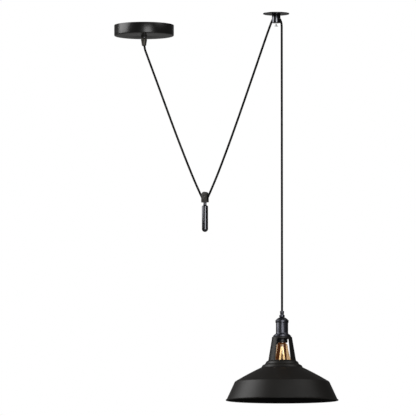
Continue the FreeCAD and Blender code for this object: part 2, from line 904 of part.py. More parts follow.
def make_canopy_grip():
    """The tapered grip below the knuckle: two lugs on a turned body with a bore for the cord."""
    shoulder = -dim.ear_radius - dim.free_gap
    foot = -dim.grip_length
    bore = cord_radius + dim.cord_play
    mouth = dim.grip_mouth_diameter / 2
    profile = [
        (bore, foot),
        (mouth, foot),
        (dim.grip_foot_diameter / 2, foot + dim.grip_chamfer),
        (dim.grip_top_diameter / 2, shoulder - 0.6),
        (dim.grip_top_diameter / 2 - 0.6, shoulder),
        (bore, shoulder),
    ]
    turned_piece = turned_body("canopy_grip_turned", profile)
    place(turned_piece)
    lug_foot = shoulder - dim.side_clearance
    lug_height = -dim.lug_step - lug_foot
    lugs = []
    for side in (-1, 1):
        y = (lug_face + dim.lug_thickness / 2) * side
        lugs.append(box(dim.lug_width, dim.lug_thickness, lug_height, 0, y, lug_foot))
        near = lug_face if side < 0 else lug_side
        lugs.append(cylinder(dim.lug_radius, dim.lug_thickness, 0, near * side, 0, (1, 0, 0), 90))
    pin_hole = cylinder(pivot_hole, dim.yoke_diameter * 2, 0, dim.yoke_diameter, 0, (1, 0, 0), 90)
    screw_hole = cylinder(
        dim.set_screw_diameter / 2, dim.grip_top_diameter, 0, 0, -dim.set_screw_drop, (0, 1, 0), -90
    )
    grip = cut(fuse(turned_piece, *lugs), pin_hole, screw_hole)
    register(knuckle(grip), "canopy_grip")
    shank = cylinder(
        dim.set_screw_diameter / 2,
        dim.grip_foot_diameter / 2 - bore,
        -bore,
        0,
        -dim.set_screw_drop,
        (0, 1, 0),
        -90,
    )
    register(knuckle(group(shank)), "canopy_grip_screw")


# ---------------------------------------------------------------- cord guide


def make_guide_plate():
    """The round plate against the ceiling, with a hole for the ceiling stud."""
    radius = dim.plate_diameter / 2
    hole = dim.stud_hole_diameter / 2
    edge = dim.plate_edge_radius
    steps = [(hole, plate_underside)]
    steps += fillet(radius, plate_underside, edge, OUT, UP)
    steps += [(radius, 0), (hole, 0)]
    turned("guide_plate", steps, dim.guide_distance)


def make_guide_body():
    """The guide: a turned body with a curved passage for the cord and threaded holes above and below."""
    radius = dim.body_diameter / 2
    edge = dim.body_edge_radius
    stud = dim.stud_thread_diameter / 2
    stud_end = plate_underside - dim.stud_thread_depth
    clamp = dim.clamp_diameter / 2 + dim.running_clearance
    passage = cord_radius + dim.passage_clearance
    steps = [(0, body_foot)]
    steps += fillet(radius, body_foot, edge, OUT, UP)
    steps += [(radius, plate_underside), (stud, plate_underside), (stud, stud_end), (0, stud_end)]
    body = turned_body("guide_body", steps)
    doc.recompute()

    sketch = new_sketch(body, "passage_sketch", "YZ_Plane")
    draw_circle(sketch, 0, -dim.passage_depth, passage)
    level = passage_centre_level
    axis = Part.LineSegment(FreeCAD.Vector(-10, level.value, 0), FreeCAD.Vector(10, level.value, 0))
    line = sketch.addGeometry(axis, True)
    hold_point(sketch, line, 1, as_size(-10), level)
    hold_point(sketch, line, 2, as_size(10), level)
    groove = body.newObject("PartDesign::Groove", "cord_passage")
    groove.Profile = sketch
    groove.ReferenceAxis = (sketch, ["Axis0"])
    groove.Angle = 360
    doc.recompute()

    def clamp_hole(sketch):
        draw_circle(sketch, 0, 0, clamp)

    hole_sketch = new_sketch(body, "clamp_hole_sketch", "XY_Plane")
    bind(hole_sketch, "AttachmentOffset.Base.z", body_foot)
    clamp_hole(hole_sketch)
    hole = body.newObject("PartDesign::Pocket", "clamp_hole")
    hole.Profile = hole_sketch
    hole.Reversed = True
    bind(hole, "Length", -(body_foot + dim.passage_depth))
    register(place(body, dim.guide_distance), "guide_body")


def make_clamp():
    """The pad under the cord and the clear screw that presses it."""
    pad_top = -dim.passage_depth - cord_radius - dim.side_clearance - 0.1
    pad_foot = pad_top - dim.pad_thickness
    radius = dim.clamp_diameter / 2
    neck = dim.thumb_neck_diameter / 2
    thumb = dim.thumb_diameter / 2
    thumb_top = body_foot - dim.clamp_stand
    thumb_foot = thumb_top - dim.thumb_height
    register(cylinder(radius, dim.pad_thickness, dim.guide_distance, 0, pad_foot), "clamp_pad")
    tip = pad_foot - dim.running_clearance
    steps = [
        (0, thumb_foot),
        (thumb - dim.thumb_edge_radius, thumb_foot),
        arc(thumb, thumb_foot + dim.thumb_edge_radius, dim.thumb_edge_radius, "left"),
        (thumb - dim.thumb_lip_taper, thumb_foot + dim.thumb_lip_height),
        arc(neck, thumb_top, dim.thumb_height, "right"),
        (neck, body_foot - 0.5),
        (radius, body_foot - 0.5),
        (radius, tip),
        (0, tip),
    ]
    turned("clamp_screw", steps, dim.guide_distance)


# ---------------------------------------------------------------- pulley block and counterweight


def make_pulley_block():
    """The fork: two round-topped cheeks on one foot, with a round slot for the sheave and the cord."""
    half = dim.block_width / 2
    crown = dim.block_crown_rise
    foot = -dim.block_foot_drop
    body = new_body("pulley_block")

    def outline(sketch):
        steps = [(-half, foot), (half, foot), (half, crown)]
        steps += [arc(0, crown + half, half, "left"), arc(-half, crown, half, "left")]
        draw_outline(sketch, steps)

    def slot(sketch):
        draw_circle(sketch, 0, 0, dim.wrap_radius + cord_radius + dim.free_gap)

    def axle_hole(sketch):
        draw_circle(sketch, 0, 0, dim.axle_diameter / 2)

    pad(body, "block_outline", "XZ_Plane", outline, dim.block_thickness)
    doc.recompute()
    sheave_slot = pocket(body, "sheave_slot", "XZ_Plane", slot, dim.slot_gap)
    sheave_slot.SideType = "Symmetric"
    doc.recompute()
    pocket(body, "axle_hole", "XZ_Plane", axle_hole)
    doc.recompute()
    sketch = new_sketch(body, "stud_hole_sketch", "XY_Plane")
    bind(sketch, "AttachmentOffset.Base.z", foot)
    draw_circle(sketch, 0, 0, dim.stud_diameter / 2)
    hole = body.newObject("PartDesign::Pocket", "stud_hole")
    hole.Profile = sketch
    hole.Reversed = True
    bind(hole, "Length", dim.block_foot_drop - dim.wrap_radius)
    register(place(body, dim.weight_distance, 0, axle_level), "pulley_block")


def make_sheave():
    """The grooved wheel that the cord turns under, about the Y axis."""
    bore = dim.axle_diameter / 2 + dim.running_clearance
    rim = dim.sheave_rim_radius
    half = dim.slot_gap / 2 - dim.side_clearance
    section = cord_radius + dim.cord_gap
    depth = dim.wrap_radius - rim
    opening = Size(
        math.sqrt(section.value**2 - depth.value**2), f"sqrt({section.text}^2 - {depth.text}^2)"
    )
    steps = [
        (bore, -half),
        (rim, -half),
        (rim, -opening),
        arc(dim.wrap_radius - section, 0, section, "right"),
        arc(rim, opening, section, "right"),
        (rim, half),
        (bore, half),
    ]
    turned("sheave", steps, dim.weight_distance, 0, axle_level, (1, 0, 0), 90)


def make_axle_and_weight():
    """The sheave's axle, the stud and collar under the block, and the round-ended counterweight."""
    length = dim.block_thickness - dim.axle_recess * 2
    axle = cylinder(
        dim.axle_diameter / 2, length, dim.weight_distance, length / 2, axle_level, (1, 0, 0), 90
    )
    register(axle, "sheave_axle")
    stud_top = axle_level - dim.wrap_radius - cord_radius - dim.free_gap - 0.2
    stud_foot = weight_top - dim.stud_grip
    stud = cylinder(dim.stud_diameter / 2, stud_top - stud_foot, dim.weight_distance, 0, stud_foot)
    register(stud, "weight_stud")
    collar = ring(
        dim.collar_diameter / 2,
        dim.stud_diameter / 2 + dim.running_clearance,
        dim.collar_height,
        dim.weight_distance,
        0,
        weight_top,
    )
    register(collar, "weight_collar")
    radius = dim.weight_diameter / 2
    shoulder = dim.weight_shoulder
    foot = weight_top - dim.weight_height
    steps = [
        (0, foot),
        arc(radius, foot + radius, radius, "left"),
        (radius, weight_top - shoulder),
        (radius - shoulder, weight_top),
        (dim.stud_diameter / 2, weight_top),
        (dim.stud_diameter / 2, stud_foot),
        (0, stud_foot),
    ]
    turned("counterweight", steps, dim.weight_distance)


# ---------------------------------------------------------------- lampholder


def make_lamp_grip():
    """The cord grip on the lampholder: two turned bands with a waist between them, and its set screw."""
    bore = cord_radius + dim.cord_play
    upper = dim.lamp_grip_upper_diameter / 2
    waist = dim.lamp_grip_waist_diameter / 2
    foot = dim.lamp_grip_foot_diameter / 2
    upper_foot = lamp_top - dim.lamp_grip_upper_height
    waist_foot = upper_foot - dim.lamp_grip_waist_height
    thread = lamp_grip_foot + dim.lamp_grip_foot_height - 1
    steps = [
        (nipple_radius, lamp_grip_foot),
        (foot - 2.0, lamp_grip_foot),
        (foot, lamp_grip_foot + 2.0),
        (foot, waist_foot - 1.5),
        (foot - 1.5, waist_foot),
        (waist, waist_foot),
        (waist, upper_foot),
        (upper, upper_foot),
        (upper, lamp_top - 1.0),
        (upper - 1.0, lamp_top),
        (bore, lamp_top),
        (bore, thread),
        (nipple_radius, thread),
    ]
    body = turned_body("lamp_grip_turned", steps)
    level = lamp_top - dim.lamp_grip_upper_height / 2
    hole = cylinder(dim.set_screw_diameter / 2, upper + 1, 0, 0, level, (0, 1, 0), -90)
    register(place(cut(body, hole), dim.lamp_distance), "lamp_grip")
    screw = cylinder(
        dim.set_screw_diameter / 2, upper - bore, dim.lamp_distance - bore, 0, level, (0, 1, 0), -90
    )
    register(screw, "lamp_grip_screw")
    nipple_foot = lamp_grip_foot - dim.holder_wall - 5
    nipple = ring(
        nipple_radius, dim.nipple_bore / 2, thread - nipple_foot, dim.lamp_distance, 0, nipple_foot
    )
    register(nipple, "lamp_nipple")


def make_holder_cap():
    """The domed cap with its rolled band."""
    wall = dim.holder_wall
    hole = nipple_radius + dim.running_clearance
    flat = dim.lamp_grip_foot_diameter / 2 + 0.6
    shell = dim.shell_diameter / 2
    band = dim.band_diameter / 2
    crown = dim.cap_crown_radius
    edge = 1.5
    steps = [(hole, lamp_grip_foot), (hole, lamp_grip_foot - wall), (flat, lamp_grip_foot - wall)]
    steps += [arc(shell, cap_foot - wall, crown - wall, "right"), (shell, band_foot)]
    steps += [(band - edge, band_foot), arc(band, band_foot + edge, edge, "left"), (band, cap_foot - edge)]
    steps += [arc(band - edge, cap_foot, edge, "left"), (shell, cap_foot)]
    steps += [arc(flat, lamp_grip_foot, crown, "left")]
    turned("holder_cap", steps, dim.lamp_distance)


def make_holder_shell():
    """The straight shell that flares out over the shade ring."""
    outer = dim.shell_diameter / 2
    inner = outer - dim.holder_wall
    flare = dim.flare_diameter / 2
    top = cap_foot - dim.holder_wall - 1.0
    steps = [
        (outer, top),
        (inner, top),
        (inner, flare_foot),
        (flare, flare_foot),
        (flare, flare_foot + 1.0),
        arc(outer, shell_foot, dim.flare_height, "right"),
    ]
    turned("holder_shell", steps, dim.lamp_distance)


def make_shade_rings():
    """The stepped ring above the shade and the nut below its top plate, both on the insert."""
    hole = dim.insert_diameter / 2 + dim.running_clearance
    outer = dim.ring_diameter / 2
    step = dim.flare_diameter / 2 + 1.2
    steps = [
        (hole, neck_top),
        (outer - 0.8, neck_top),
        arc(outer, neck_top + 0.8, 0.8, "left"),
        (outer, flare_foot - dim.ring_step_height - 0.8),
        (outer - 0.8, flare_foot - dim.ring_step_height),
        (step, flare_foot - dim.ring_step_height),
        (step, flare_foot - 0.8),
        (step - 0.8, flare_foot),
        (hole, flare_foot),
    ]
    turned("shade_ring", steps, dim.lamp_distance)
    nut_top = neck_top - dim.shade_wall
    nut_foot = nut_top - dim.ring_nut_height
    nut = dim.ring_nut_diameter / 2
    steps = [
        (hole, nut_foot),
        (nut - 1.0, nut_foot),
        (nut, nut_foot + 1.0),
        (nut, nut_top),
        (hole, nut_top),
    ]
    turned("shade_nut", steps, dim.lamp_distance)


def make_holder_inside():
    """The core, the threaded insert, the terminals and the contacts inside the shell."""
    insert = dim.insert_diameter / 2
    inner = insert - dim.insert_wall
    foot = core_foot - dim.insert_length
    lip = dim.insert_lip_radius
    core = cylinder(insert, dim.core_height, 0, 0, core_foot)
    screw = dim.terminal_screw_diameter / 2
    width = dim.lamp_terminal_width
    height = dim.lamp_terminal_height
    wire_hole_radius = dim.wire_diameter / 2 + 0.1
    holes, terminals, screws = [], [], []
    for side in (-1, 1):
        x = dim.lamp_terminal_place * side
        holes.append(cylinder(screw, dim.core_height + 2, x, 0, core_foot - 1))
        blank = box(width, width * 1.4, height, x, 0, core_top)
        thread = cylinder(screw, height + 2, x, 0, core_top - 1)
        near = x - width if side > 0 else x
        wire_hole = cylinder(wire_hole_radius, width, near, 0, core_top + height / 2, (0, 1, 0), 90)
        terminals.append(cut(blank, thread, wire_hole))
        screws.append(cylinder(screw, dim.core_height + 0.6, x, 0, core_foot + 0.4))
    place_lamp(cut(core, *holes), "holder_core")
    place_lamp(group(*terminals), "holder_terminals")
    place_lamp(group(*screws), "holder_terminal_screws")
    steps = [
        (inner, foot + 1.0),
        (inner + 1.0, foot),
        (insert - lip, foot),
        arc(insert, foot + lip, lip, "left"),
        (insert, core_foot),
        (inner, core_foot),
    ]
    turned("holder_insert", steps, dim.lamp_distance)
    contact = dim.contact_height - 0.1
    button = cylinder(dim.centre_contact_diameter / 2, contact, dim.lamp_distance, 0, core_foot - contact)
    register(button, "centre_contact")
    thickness = dim.side_contact_thickness
    length = dim.side_contact_length
    place_x = dim.lamp_distance + inner - thickness
    tongue = box(thickness, dim.side_contact_width, length, place_x, 0, core_foot - length)
    register(tongue, "side_contact")


def place_lamp(feature, label):
    """Puts a piece built about the lamp's axis in its place."""
    return register(place(feature, dim.lamp_distance), label)


def make_lamp_leads():
    """The two cores from the cord's sheath to the lampholder's terminals."""
    sheath_end = (lamp_grip_foot - dim.holder_wall - 5).value
    level = (core_top + dim.lamp_terminal_height / 2).value
    axis = dim.lamp_distance.value
    reach = (dim.lamp_terminal_place - dim.lamp_terminal_width / 2 + dim.lead_end_depth).value
    apart = dim.lead_spacing.value / 2
    radius = dim.wire_diameter.value / 2
    wires = []
    for side in (-1, 1):
        points = [
            at(axis + apart * side, sheath_end),
            at(axis + apart * side, level),
            at(axis + reach * side, level),
        ]
        wires.append(tube(rounded_path(points, [dim.lead_bend_radius.value]), radius))
    shape_part("lamp_leads", Part.makeCompound(wires))


# ---------------------------------------------------------------- shade


def make_shade_neck():
    """The tapered neck of the shade: a top plate with a hole, and three windows."""
    wall = dim.shade_wall
    hole = dim.insert_diameter / 2 + 0.3
    top = dim.neck_top_diameter / 2
    foot = dim.neck_foot_diameter / 2
    corner = dim.neck_corner_radius
    steps = [
        (hole, neck_top),
        (hole, neck_top - wall),
        (top - wall, neck_top - wall),
        (foot - wall, neck_foot),
        (foot, neck_foot),
        (top, neck_top - corner),
        arc(top - corner, neck_top, corner, "left"),
    ]
    body = turned_body("shade_neck", steps)
    doc.recompute()
    whole = body.Shape.Volume

    def window(sketch):
        window_top = neck_top - dim.window_top_drop
        window_foot = neck_foot + dim.window_foot_rise
        wide = dim.window_foot_width / 2
        narrow = dim.window_top_width / 2
        steps = [(-wide, window_foot), (wide, window_foot), (narrow, window_top), (-narrow, window_top)]
        draw_outline(sketch, steps)

    cutter = pocket(body, "shade_window", "XZ_Plane", window, dim.neck_foot_diameter, True)
    doc.recompute()
    one_window = whole - body.Shape.Volume
    pattern = body.newObject("PartDesign::PolarPattern", "window_pattern")
    pattern.Originals = [cutter]
    pattern.Axis = (body_plane(body, "Z_Axis"), [""])
    pattern.Angle = 360
    pattern.Occurrences = int(dim.window_count.value)
    pattern.setExpression("Occurrences", dim.window_count.text)
    body.Tip = pattern
    doc.recompute()
    print(f"shade_neck: one window {one_window:.0f} mm3, all {whole - body.Shape.Volume:.0f} mm3")
    register(place(body, dim.lamp_distance, 0, 0, (0, 0, 1), dim.window_turn), "shade_neck")


def make_shade_dish():
    """The dish of the shade: two steps, a bowed cone, a rounded knee and a straight skirt."""
    wall = dim.shade_wall
    start = dim.neck_foot_diameter / 2
    step_one = start + dim.step_one_tread
    step_one_foot = step_one + dim.riser_lean
    step_two = step_one_foot + dim.step_two_tread
    step_two_foot = step_two + dim.riser_lean
    levels = [neck_foot]
    for drop in (dim.step_one_slope, dim.step_one_riser, dim.step_two_slope, dim.step_two_riser):
        levels.append(levels[-1] - drop)
    knee = dim.knee_diameter / 2
    knee_level = levels[4] - dim.cone_height
    skirt_foot = knee_level - dim.skirt_height
    rim = dim.rim_diameter / 2 - dim.rim_bead_diameter / 4
    knee_in = dim.knee_radius * 0.36
    knee_down = dim.knee_radius * 0.36
    # the inner face is the outer one moved inwards and down, which gives each slope about the same wall
    inward = wall * 0.75
    down = wall * 0.9
    outer = [
        (start, levels[0]),
        (step_one, levels[1]),
        (step_one_foot, levels[2]),
        (step_two, levels[3]),
        (step_two_foot, levels[4]),
        arc(knee - knee_in, knee_level + knee_down * 0.5, dim.cone_bow_radius, "right"),
        arc(knee + knee_in * 0.5, knee_level - knee_down, dim.knee_radius, "right"),
        (rim, skirt_foot),
    ]
    inner = [
        (rim - inward - wall * 0.35, skirt_foot),
        (knee + knee_in * 0.5 - inward, knee_level - knee_down - down),
        arc(knee - knee_in - inward, knee_level + knee_down * 0.5 - down, dim.knee_radius, "left"),
        arc(step_two_foot - inward, levels[4] - down, dim.cone_bow_radius, "left"),
        (step_two - inward, levels[3] - down),
        (step_one_foot - inward, levels[2] - down),
        (step_one - inward, levels[1] - down),
        (start - inward, levels[0] - down),
    ]
    turned("shade_dish", outer + inner, dim.lamp_distance)
    bead = dim.rim_bead_diameter / 2
    centre = dim.rim_diameter / 2
    rim_body = new_body("shade_rim")
    sketch = new_sketch(rim_body, "rim_sketch", "XZ_Plane")
    draw_circle(sketch, centre, skirt_foot - bead, bead)
    turn = rim_body.newObject("PartDesign::Revolution", "rim_turn")
    turn.Profile = sketch
    turn.ReferenceAxis = (sketch, ["V_Axis"])
    turn.Angle = 360
    place_lamp(rim_body, "shade_rim")


# ---------------------------------------------------------------- bulb


def make_bulb():
    """The filament bulb: end contact, insulator, threaded cap, glass, stem, support wires and filaments."""
    x = dim.lamp_distance
    cap = dim.bulb_cap_diameter / 2
    skirt = dim.bulb_skirt_diameter / 2
    wall = dim.bulb_wall
    skirt_top = cap_top_level - dim.insulator_drop
    skirt_foot = cap_top_level - dim.bulb_cap_length
    thread_foot = skirt_top - dim.bulb_skirt_length
    contact_foot = cap_top_level - dim.end_contact_height
    contact = cylinder(dim.end_contact_diameter / 2, dim.end_contact_height, x, 0, contact_foot)
    register(contact, "bulb_contact")
    insulator_top = dim.insulator_top_diameter / 2
    insulator = cone(skirt - 0.4, insulator_top, dim.insulator_height, x, 0, skirt_top)
    register(insulator, "bulb_insulator")
    steps = [(skirt - 1.0, skirt_top), (skirt - 1.0, skirt_foot), (skirt + 0.4, skirt_foot)]
    steps += [(skirt + 0.4, thread_foot)]
    pitch = dim.bulb_skirt_length / dim.thread_turns
    flat = dim.thread_root_flat
    for turn in range(int(dim.thread_turns.value)):
        root = thread_foot + pitch * turn
        steps += [(skirt, root + flat), (cap, root + pitch * 0.5), (skirt, root + pitch - flat)]
    steps += [(skirt, skirt_top)]
    turned("bulb_cap", steps, x)

    neck = dim.bulb_neck_diameter / 2
    glass_top = skirt_foot + 4.0
    cone_top = skirt_foot - dim.bulb_neck_length
    cone_foot = cone_top - dim.bulb_cone_length
    wide = dim.bulb_cone_diameter / 2
    radius = dim.bulb_diameter / 2
    shoulder = dim.bulb_shoulder_radius
    belly = bulb_foot + radius
    throat = skirt - 1.0 - 0.05
    outer = [
        (throat, glass_top),
        (throat, skirt_foot - 0.2),
        (neck, cone_top),
        arc(wide, cone_foot, dim.bulb_cone_bow_radius, "left"),
        arc(radius, belly, shoulder, "right"),
        arc(0, bulb_foot, radius, "right"),
    ]
    inner = [
        (0, bulb_foot + wall),
        arc(radius - wall, belly, radius - wall, "left"),
        arc(wide - wall, cone_foot, shoulder - wall, "left"),
        arc(neck - wall, cone_top, dim.bulb_cone_bow_radius + wall, "right"),
        (throat - wall, skirt_foot - 0.2),
        (throat - wall, glass_top),
    ]
    turned("bulb_glass", outer + inner, x)

    stem_foot = cone_top - dim.stem_length * 0.35
    stem = dim.stem_diameter / 2
    stem_steps = [
        (0, stem_foot),
        (stem * 0.6, stem_foot),
        arc(stem, stem_foot + dim.stem_edge_radius, dim.stem_edge_radius, "left"),
        (stem, skirt_foot - 2.0),
        (throat - wall - 0.1, skirt_foot + 2.0),
        (throat - wall - 0.1, skirt_foot + 3.5),
        (0, skirt_foot + 3.5),
    ]
    turned("bulb_stem", stem_steps, x)

    filament = dim.filament_diameter / 2
    top_level = (stem_foot - 1.0).value
    foot_level = top_level - dim.filament_length.value
    supports, filaments = [], []
    axis = dim.lamp_distance.value
    rod_radius = dim.support_diameter.value / 2
    rod = Part.makeCylinder(rod_radius, stem_foot.value - foot_level + 3.0, at(axis, foot_level - 3.0))
    supports.append(rod)
    for index in range(int(dim.filament_count.value)):
        bearing = math.radians(dim.filament_turn.value + 360.0 * index / dim.filament_count.value)
        outward = FreeCAD.Vector(math.sin(bearing), -math.cos(bearing), 0)
        upper = at(axis, top_level) + outward * (dim.filament_top_circle.value / 2 + filament.value)
        lower = at(axis, foot_level) + outward * (dim.filament_foot_circle.value / 2)
        line = lower - upper
        filaments.append(Part.makeCylinder(filament.value, line.Length, upper, line))
        arm_end = at(axis, foot_level - 2.0) + outward * (dim.filament_foot_circle.value / 2)
        arm_start = at(axis, foot_level - 2.0) + outward * (rod_radius * 0.5)
        arm_line = arm_end - arm_start
        supports.append(Part.makeCylinder(rod_radius, arm_line.Length, arm_start, arm_line))
    shape_part("bulb_supports", supports[0].multiFuse(supports[1:]).removeSplitter())
    shape_part("bulb_filaments", Part.makeCompound(filaments))


# ---------------------------------------------------------------- cord


def make_cord():
    """The cord in its separate stretches, from inside the canopy to inside the lampholder."""
    axle = at(dim.weight_distance.value, axle_level.value)
    wrap = dim.wrap_radius.value
    lean = math.radians(90.0 - dim.wrap_half_angle.value)
    left_touch = axle + at(-wrap * math.cos(lean), -wrap * math.sin(lean))
    right_touch = axle + at(wrap * math.cos(lean), -wrap * math.sin(lean))
    bottom = axle + at(0, -wrap)

    entry_top = (canopy_floor + dim.canopy_wall + dim.nipple_stand).value
    pivot = pivot_level.value
    joint_gap = 2.0
    cord_part("cord_canopy_entry", [Part.LineSegment(at(0, entry_top), at(0, pivot + joint_gap)).toShape()])

    mouth = pivot - dim.grip_length.value
    bend = at(0.0, mouth - 3.2)
    upper = at(60.0, -205.0)
    shoulder = bend + (upper - bend) * 0.41
    tail = [at(0, pivot - joint_gap), bend, shoulder]
    cord_part("cord_grip_tail", rounded_path(tail, [14.0]))

    away = at(math.sin(lean), math.cos(lean))
    leave = left_touch + at(-away.x, away.z) * 34.9
    left = [shoulder, upper, at(132.0, -366.5), at(189.5, -487.0), leave, left_touch]
    cord_part("cord_left_leg", rounded_path(left, widest_radii(left)))
    cord_part("cord_sheave_turn", [Part.Arc(left_touch, bottom, right_touch).toShape()])

    guide = dim.guide_distance.value
    half = dim.body_diameter.value / 2
    bend_radius = dim.passage_bend_radius.value
    centre_level = passage_centre_level.value
    side_level = centre_level + math.sqrt(bend_radius**2 - half**2)
    slope = math.asin(half / bend_radius)
    crest = at(guide, -dim.passage_depth.value)
    entry = at(guide - half, side_level)
    exit_point = at(guide + half, side_level)

    turn_in = entry - at(math.cos(slope), math.sin(slope)) * 7.6
    right = [
        right_touch,
        right_touch + away * 32.6,
        at(311.1, -487.0),
        at(367.9, -366.5),
        at(439.3, -205.0),
        turn_in,
        entry,
    ]
    radii = widest_radii(right)
    radii[-1] = dim.entry_bend_radius.value
    cord_part("cord_right_leg", rounded_path(right, radii))
    cord_part("cord_guide_run", [Part.Arc(entry, crest, exit_point).toShape()])

    lamp = dim.lamp_distance.value
    corner = at(lamp, side_level - (lamp - guide - half) * math.tan(slope))
    drop_radius = (corner - exit_point).Length / math.tan((math.pi / 2 - slope) / 2)
    drop = [exit_point, corner, at(lamp, lamp_top.value)]
    cord_part("cord_drop", rounded_path(drop, [drop_radius]))
    inside = at(lamp, (lamp_grip_foot - dim.holder_wall - 5).value)
    cord_part("cord_lamp_end", [Part.LineSegment(at(lamp, lamp_top.value), inside).toShape()])


# ---------------------------------------------------------------- building and writing


def check_document():
    """Stops if any object failed to build or any sub-part has no valid shape."""
    for item in doc.Objects:
        if "Invalid" in item.State or "Error" in item.State:
            raise RuntimeError(f"{item.Label} did not build: {item.State}")
    for part in sub_parts:
        if part.Shape.isNull() or not part.Shape.isValid():
            raise RuntimeError(f"{part.Label} has no valid shape")


def write_parts():
    """Writes each sub-part to its own file."""
    os.makedirs("parts", exist_ok=True)
    for part in sub_parts:
        part.Shape.exportStep(f"parts/{part.Label}.step")
    print(f"{len(sub_parts)} sub-parts written")


make_ceiling_bracket()
make_canopy_cup()
make_canopy_screws()
make_canopy_nipple()
make_terminal_block()
make_earth_screw()
make_canopy_leads()
make_yoke()
make_pivot_screws()
make_canopy_grip()
make_guide_plate()
make_guide_body()
make_clamp()
make_pulley_block()
make_sheave()
make_axle_and_weight()
make_lamp_grip()
make_holder_cap()
make_holder_shell()
make_shade_rings()
make_holder_inside()
make_lamp_leads()
make_shade_neck()
make_shade_dish()
make_bulb()
make_cord()
doc.recompute()
check_document()
write_parts()
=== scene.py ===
import json
import logging
import math
from collections.abc import Callable, Sequence
from dataclasses import dataclass, field
from enum import Enum

import bmesh
import bpy
from mathutils import Matrix, Vector


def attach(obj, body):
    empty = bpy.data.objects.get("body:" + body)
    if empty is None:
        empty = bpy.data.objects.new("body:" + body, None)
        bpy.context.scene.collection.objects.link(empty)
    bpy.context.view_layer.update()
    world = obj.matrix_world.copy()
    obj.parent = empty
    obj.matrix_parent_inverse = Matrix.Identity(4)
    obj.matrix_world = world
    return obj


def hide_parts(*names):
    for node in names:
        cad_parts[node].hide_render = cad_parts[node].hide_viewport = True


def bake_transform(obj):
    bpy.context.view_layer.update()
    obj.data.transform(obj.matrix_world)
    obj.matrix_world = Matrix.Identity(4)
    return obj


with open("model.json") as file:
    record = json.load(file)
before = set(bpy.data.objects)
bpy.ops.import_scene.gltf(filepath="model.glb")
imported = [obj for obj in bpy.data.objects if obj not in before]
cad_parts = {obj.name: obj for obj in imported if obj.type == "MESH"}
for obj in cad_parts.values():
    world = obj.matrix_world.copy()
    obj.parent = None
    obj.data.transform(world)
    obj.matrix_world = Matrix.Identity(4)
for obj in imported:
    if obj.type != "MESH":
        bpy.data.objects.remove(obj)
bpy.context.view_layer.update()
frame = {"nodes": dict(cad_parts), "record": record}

MM = 0.001
FULL_TURN = 2.0 * math.pi
# points nearer than these are one: in a mesh in millimetres, and in a CAD node's mesh in metres
MERGE_MM = 1e-4
MERGE_METRES = 2e-6
# faces of a CAD node that meet at less than this are one flat face
FLAT_DEGREES = 1.0
# a thread ridge's corners: how far under its crest, as a share of its depth, and how far up one pitch
THREAD_SECTION = ((1.3, 0.0), (0.0, 0.36), (0.0, 0.5), (1.3, 0.86))
THREAD_STEPS = 40
Point = tuple[float, float]
Place = tuple[float, float, float]
Colour = tuple[float, float, float, float]
# a profile's corners as radius and level, with a bend, a side and a count of edges where an arc leads to it
Profile = tuple[tuple[object, ...], ...]

log = logging.getLogger("pendant")


class Side(Enum):
    """The side of an arc's centre, seen along the way that the outline goes."""

    LEFT = 1.0
    RIGHT = -1.0


# ------------------------------------------------------------------ colour and nodes


def linear(code: str) -> Colour:
    """Turns an sRGB hex colour to linear light.

    Args:
        code: The colour as "#rrggbb".

    Returns:
        Red, green, blue and an alpha of 1.
    """
    parts = [int(code[at : at + 2], 16) / 255.0 for at in (1, 3, 5)]
    red, green, blue = (
        part / 12.92 if part <= 0.04045 else ((part + 0.055) / 1.055) ** 2.4 for part in parts
    )
    return red, green, blue, 1.0


def add_node(
    tree: bpy.types.NodeTree,
    kind: str,
    settings: dict[str, object] | None = None,
    sockets: dict[str | int, object] | None = None,
) -> bpy.types.Node:
    """Adds a node with its settings and its input values or links.

    Args:
        tree: The node tree that gets the node.
        kind: The node's type name.
        settings: Properties of the node itself.
        sockets: Input name or number, with a value or another node's output.

    Returns:
        The new node.
    """
    node = tree.nodes.new(kind)
    for name, value in (settings or {}).items():
        setattr(node, name, value)
    for name, value in (sockets or {}).items():
        if isinstance(value, bpy.types.NodeSocket):
            tree.links.new(value, node.inputs[name])
        else:
            node.inputs[name].default_value = value
    return node


def new_material(name: str) -> tuple[bpy.types.Material, bpy.types.NodeSocket]:
    """Makes an empty node material.

    Args:
        name: The material's name.

    Returns:
        The material, and the object's own coordinates to lay patterns by.
    """
    material = bpy.data.materials.new(name)
    material.use_nodes = True
    material.node_tree.nodes.clear()
    where = add_node(material.node_tree, "ShaderNodeTexCoord")
    return material, where.outputs["Object"]


def set_surface(material: bpy.types.Material, shader: bpy.types.NodeSocket) -> bpy.types.Material:
    """Links a shader to the material's surface and gives the material back."""
    add_node(material.node_tree, "ShaderNodeOutputMaterial", sockets={"Surface": shader})
    return material


# ------------------------------------------------------------------ finishes


NOISE = "ShaderNodeTexNoise"
MIX = "ShaderNodeMix"
MAP_RANGE = "ShaderNodeMapRange"
MAPPING = "ShaderNodeMapping"
MATHS = "ShaderNodeMath"
PRINCIPLED = "ShaderNodeBsdfPrincipled"
COLOURS = {"data_type": "RGBA"}
# the cords' own map, and the levels between which a noise mostly lies
CHART = "along_round"
NOISE_SPAN = (0.3, 0.7)


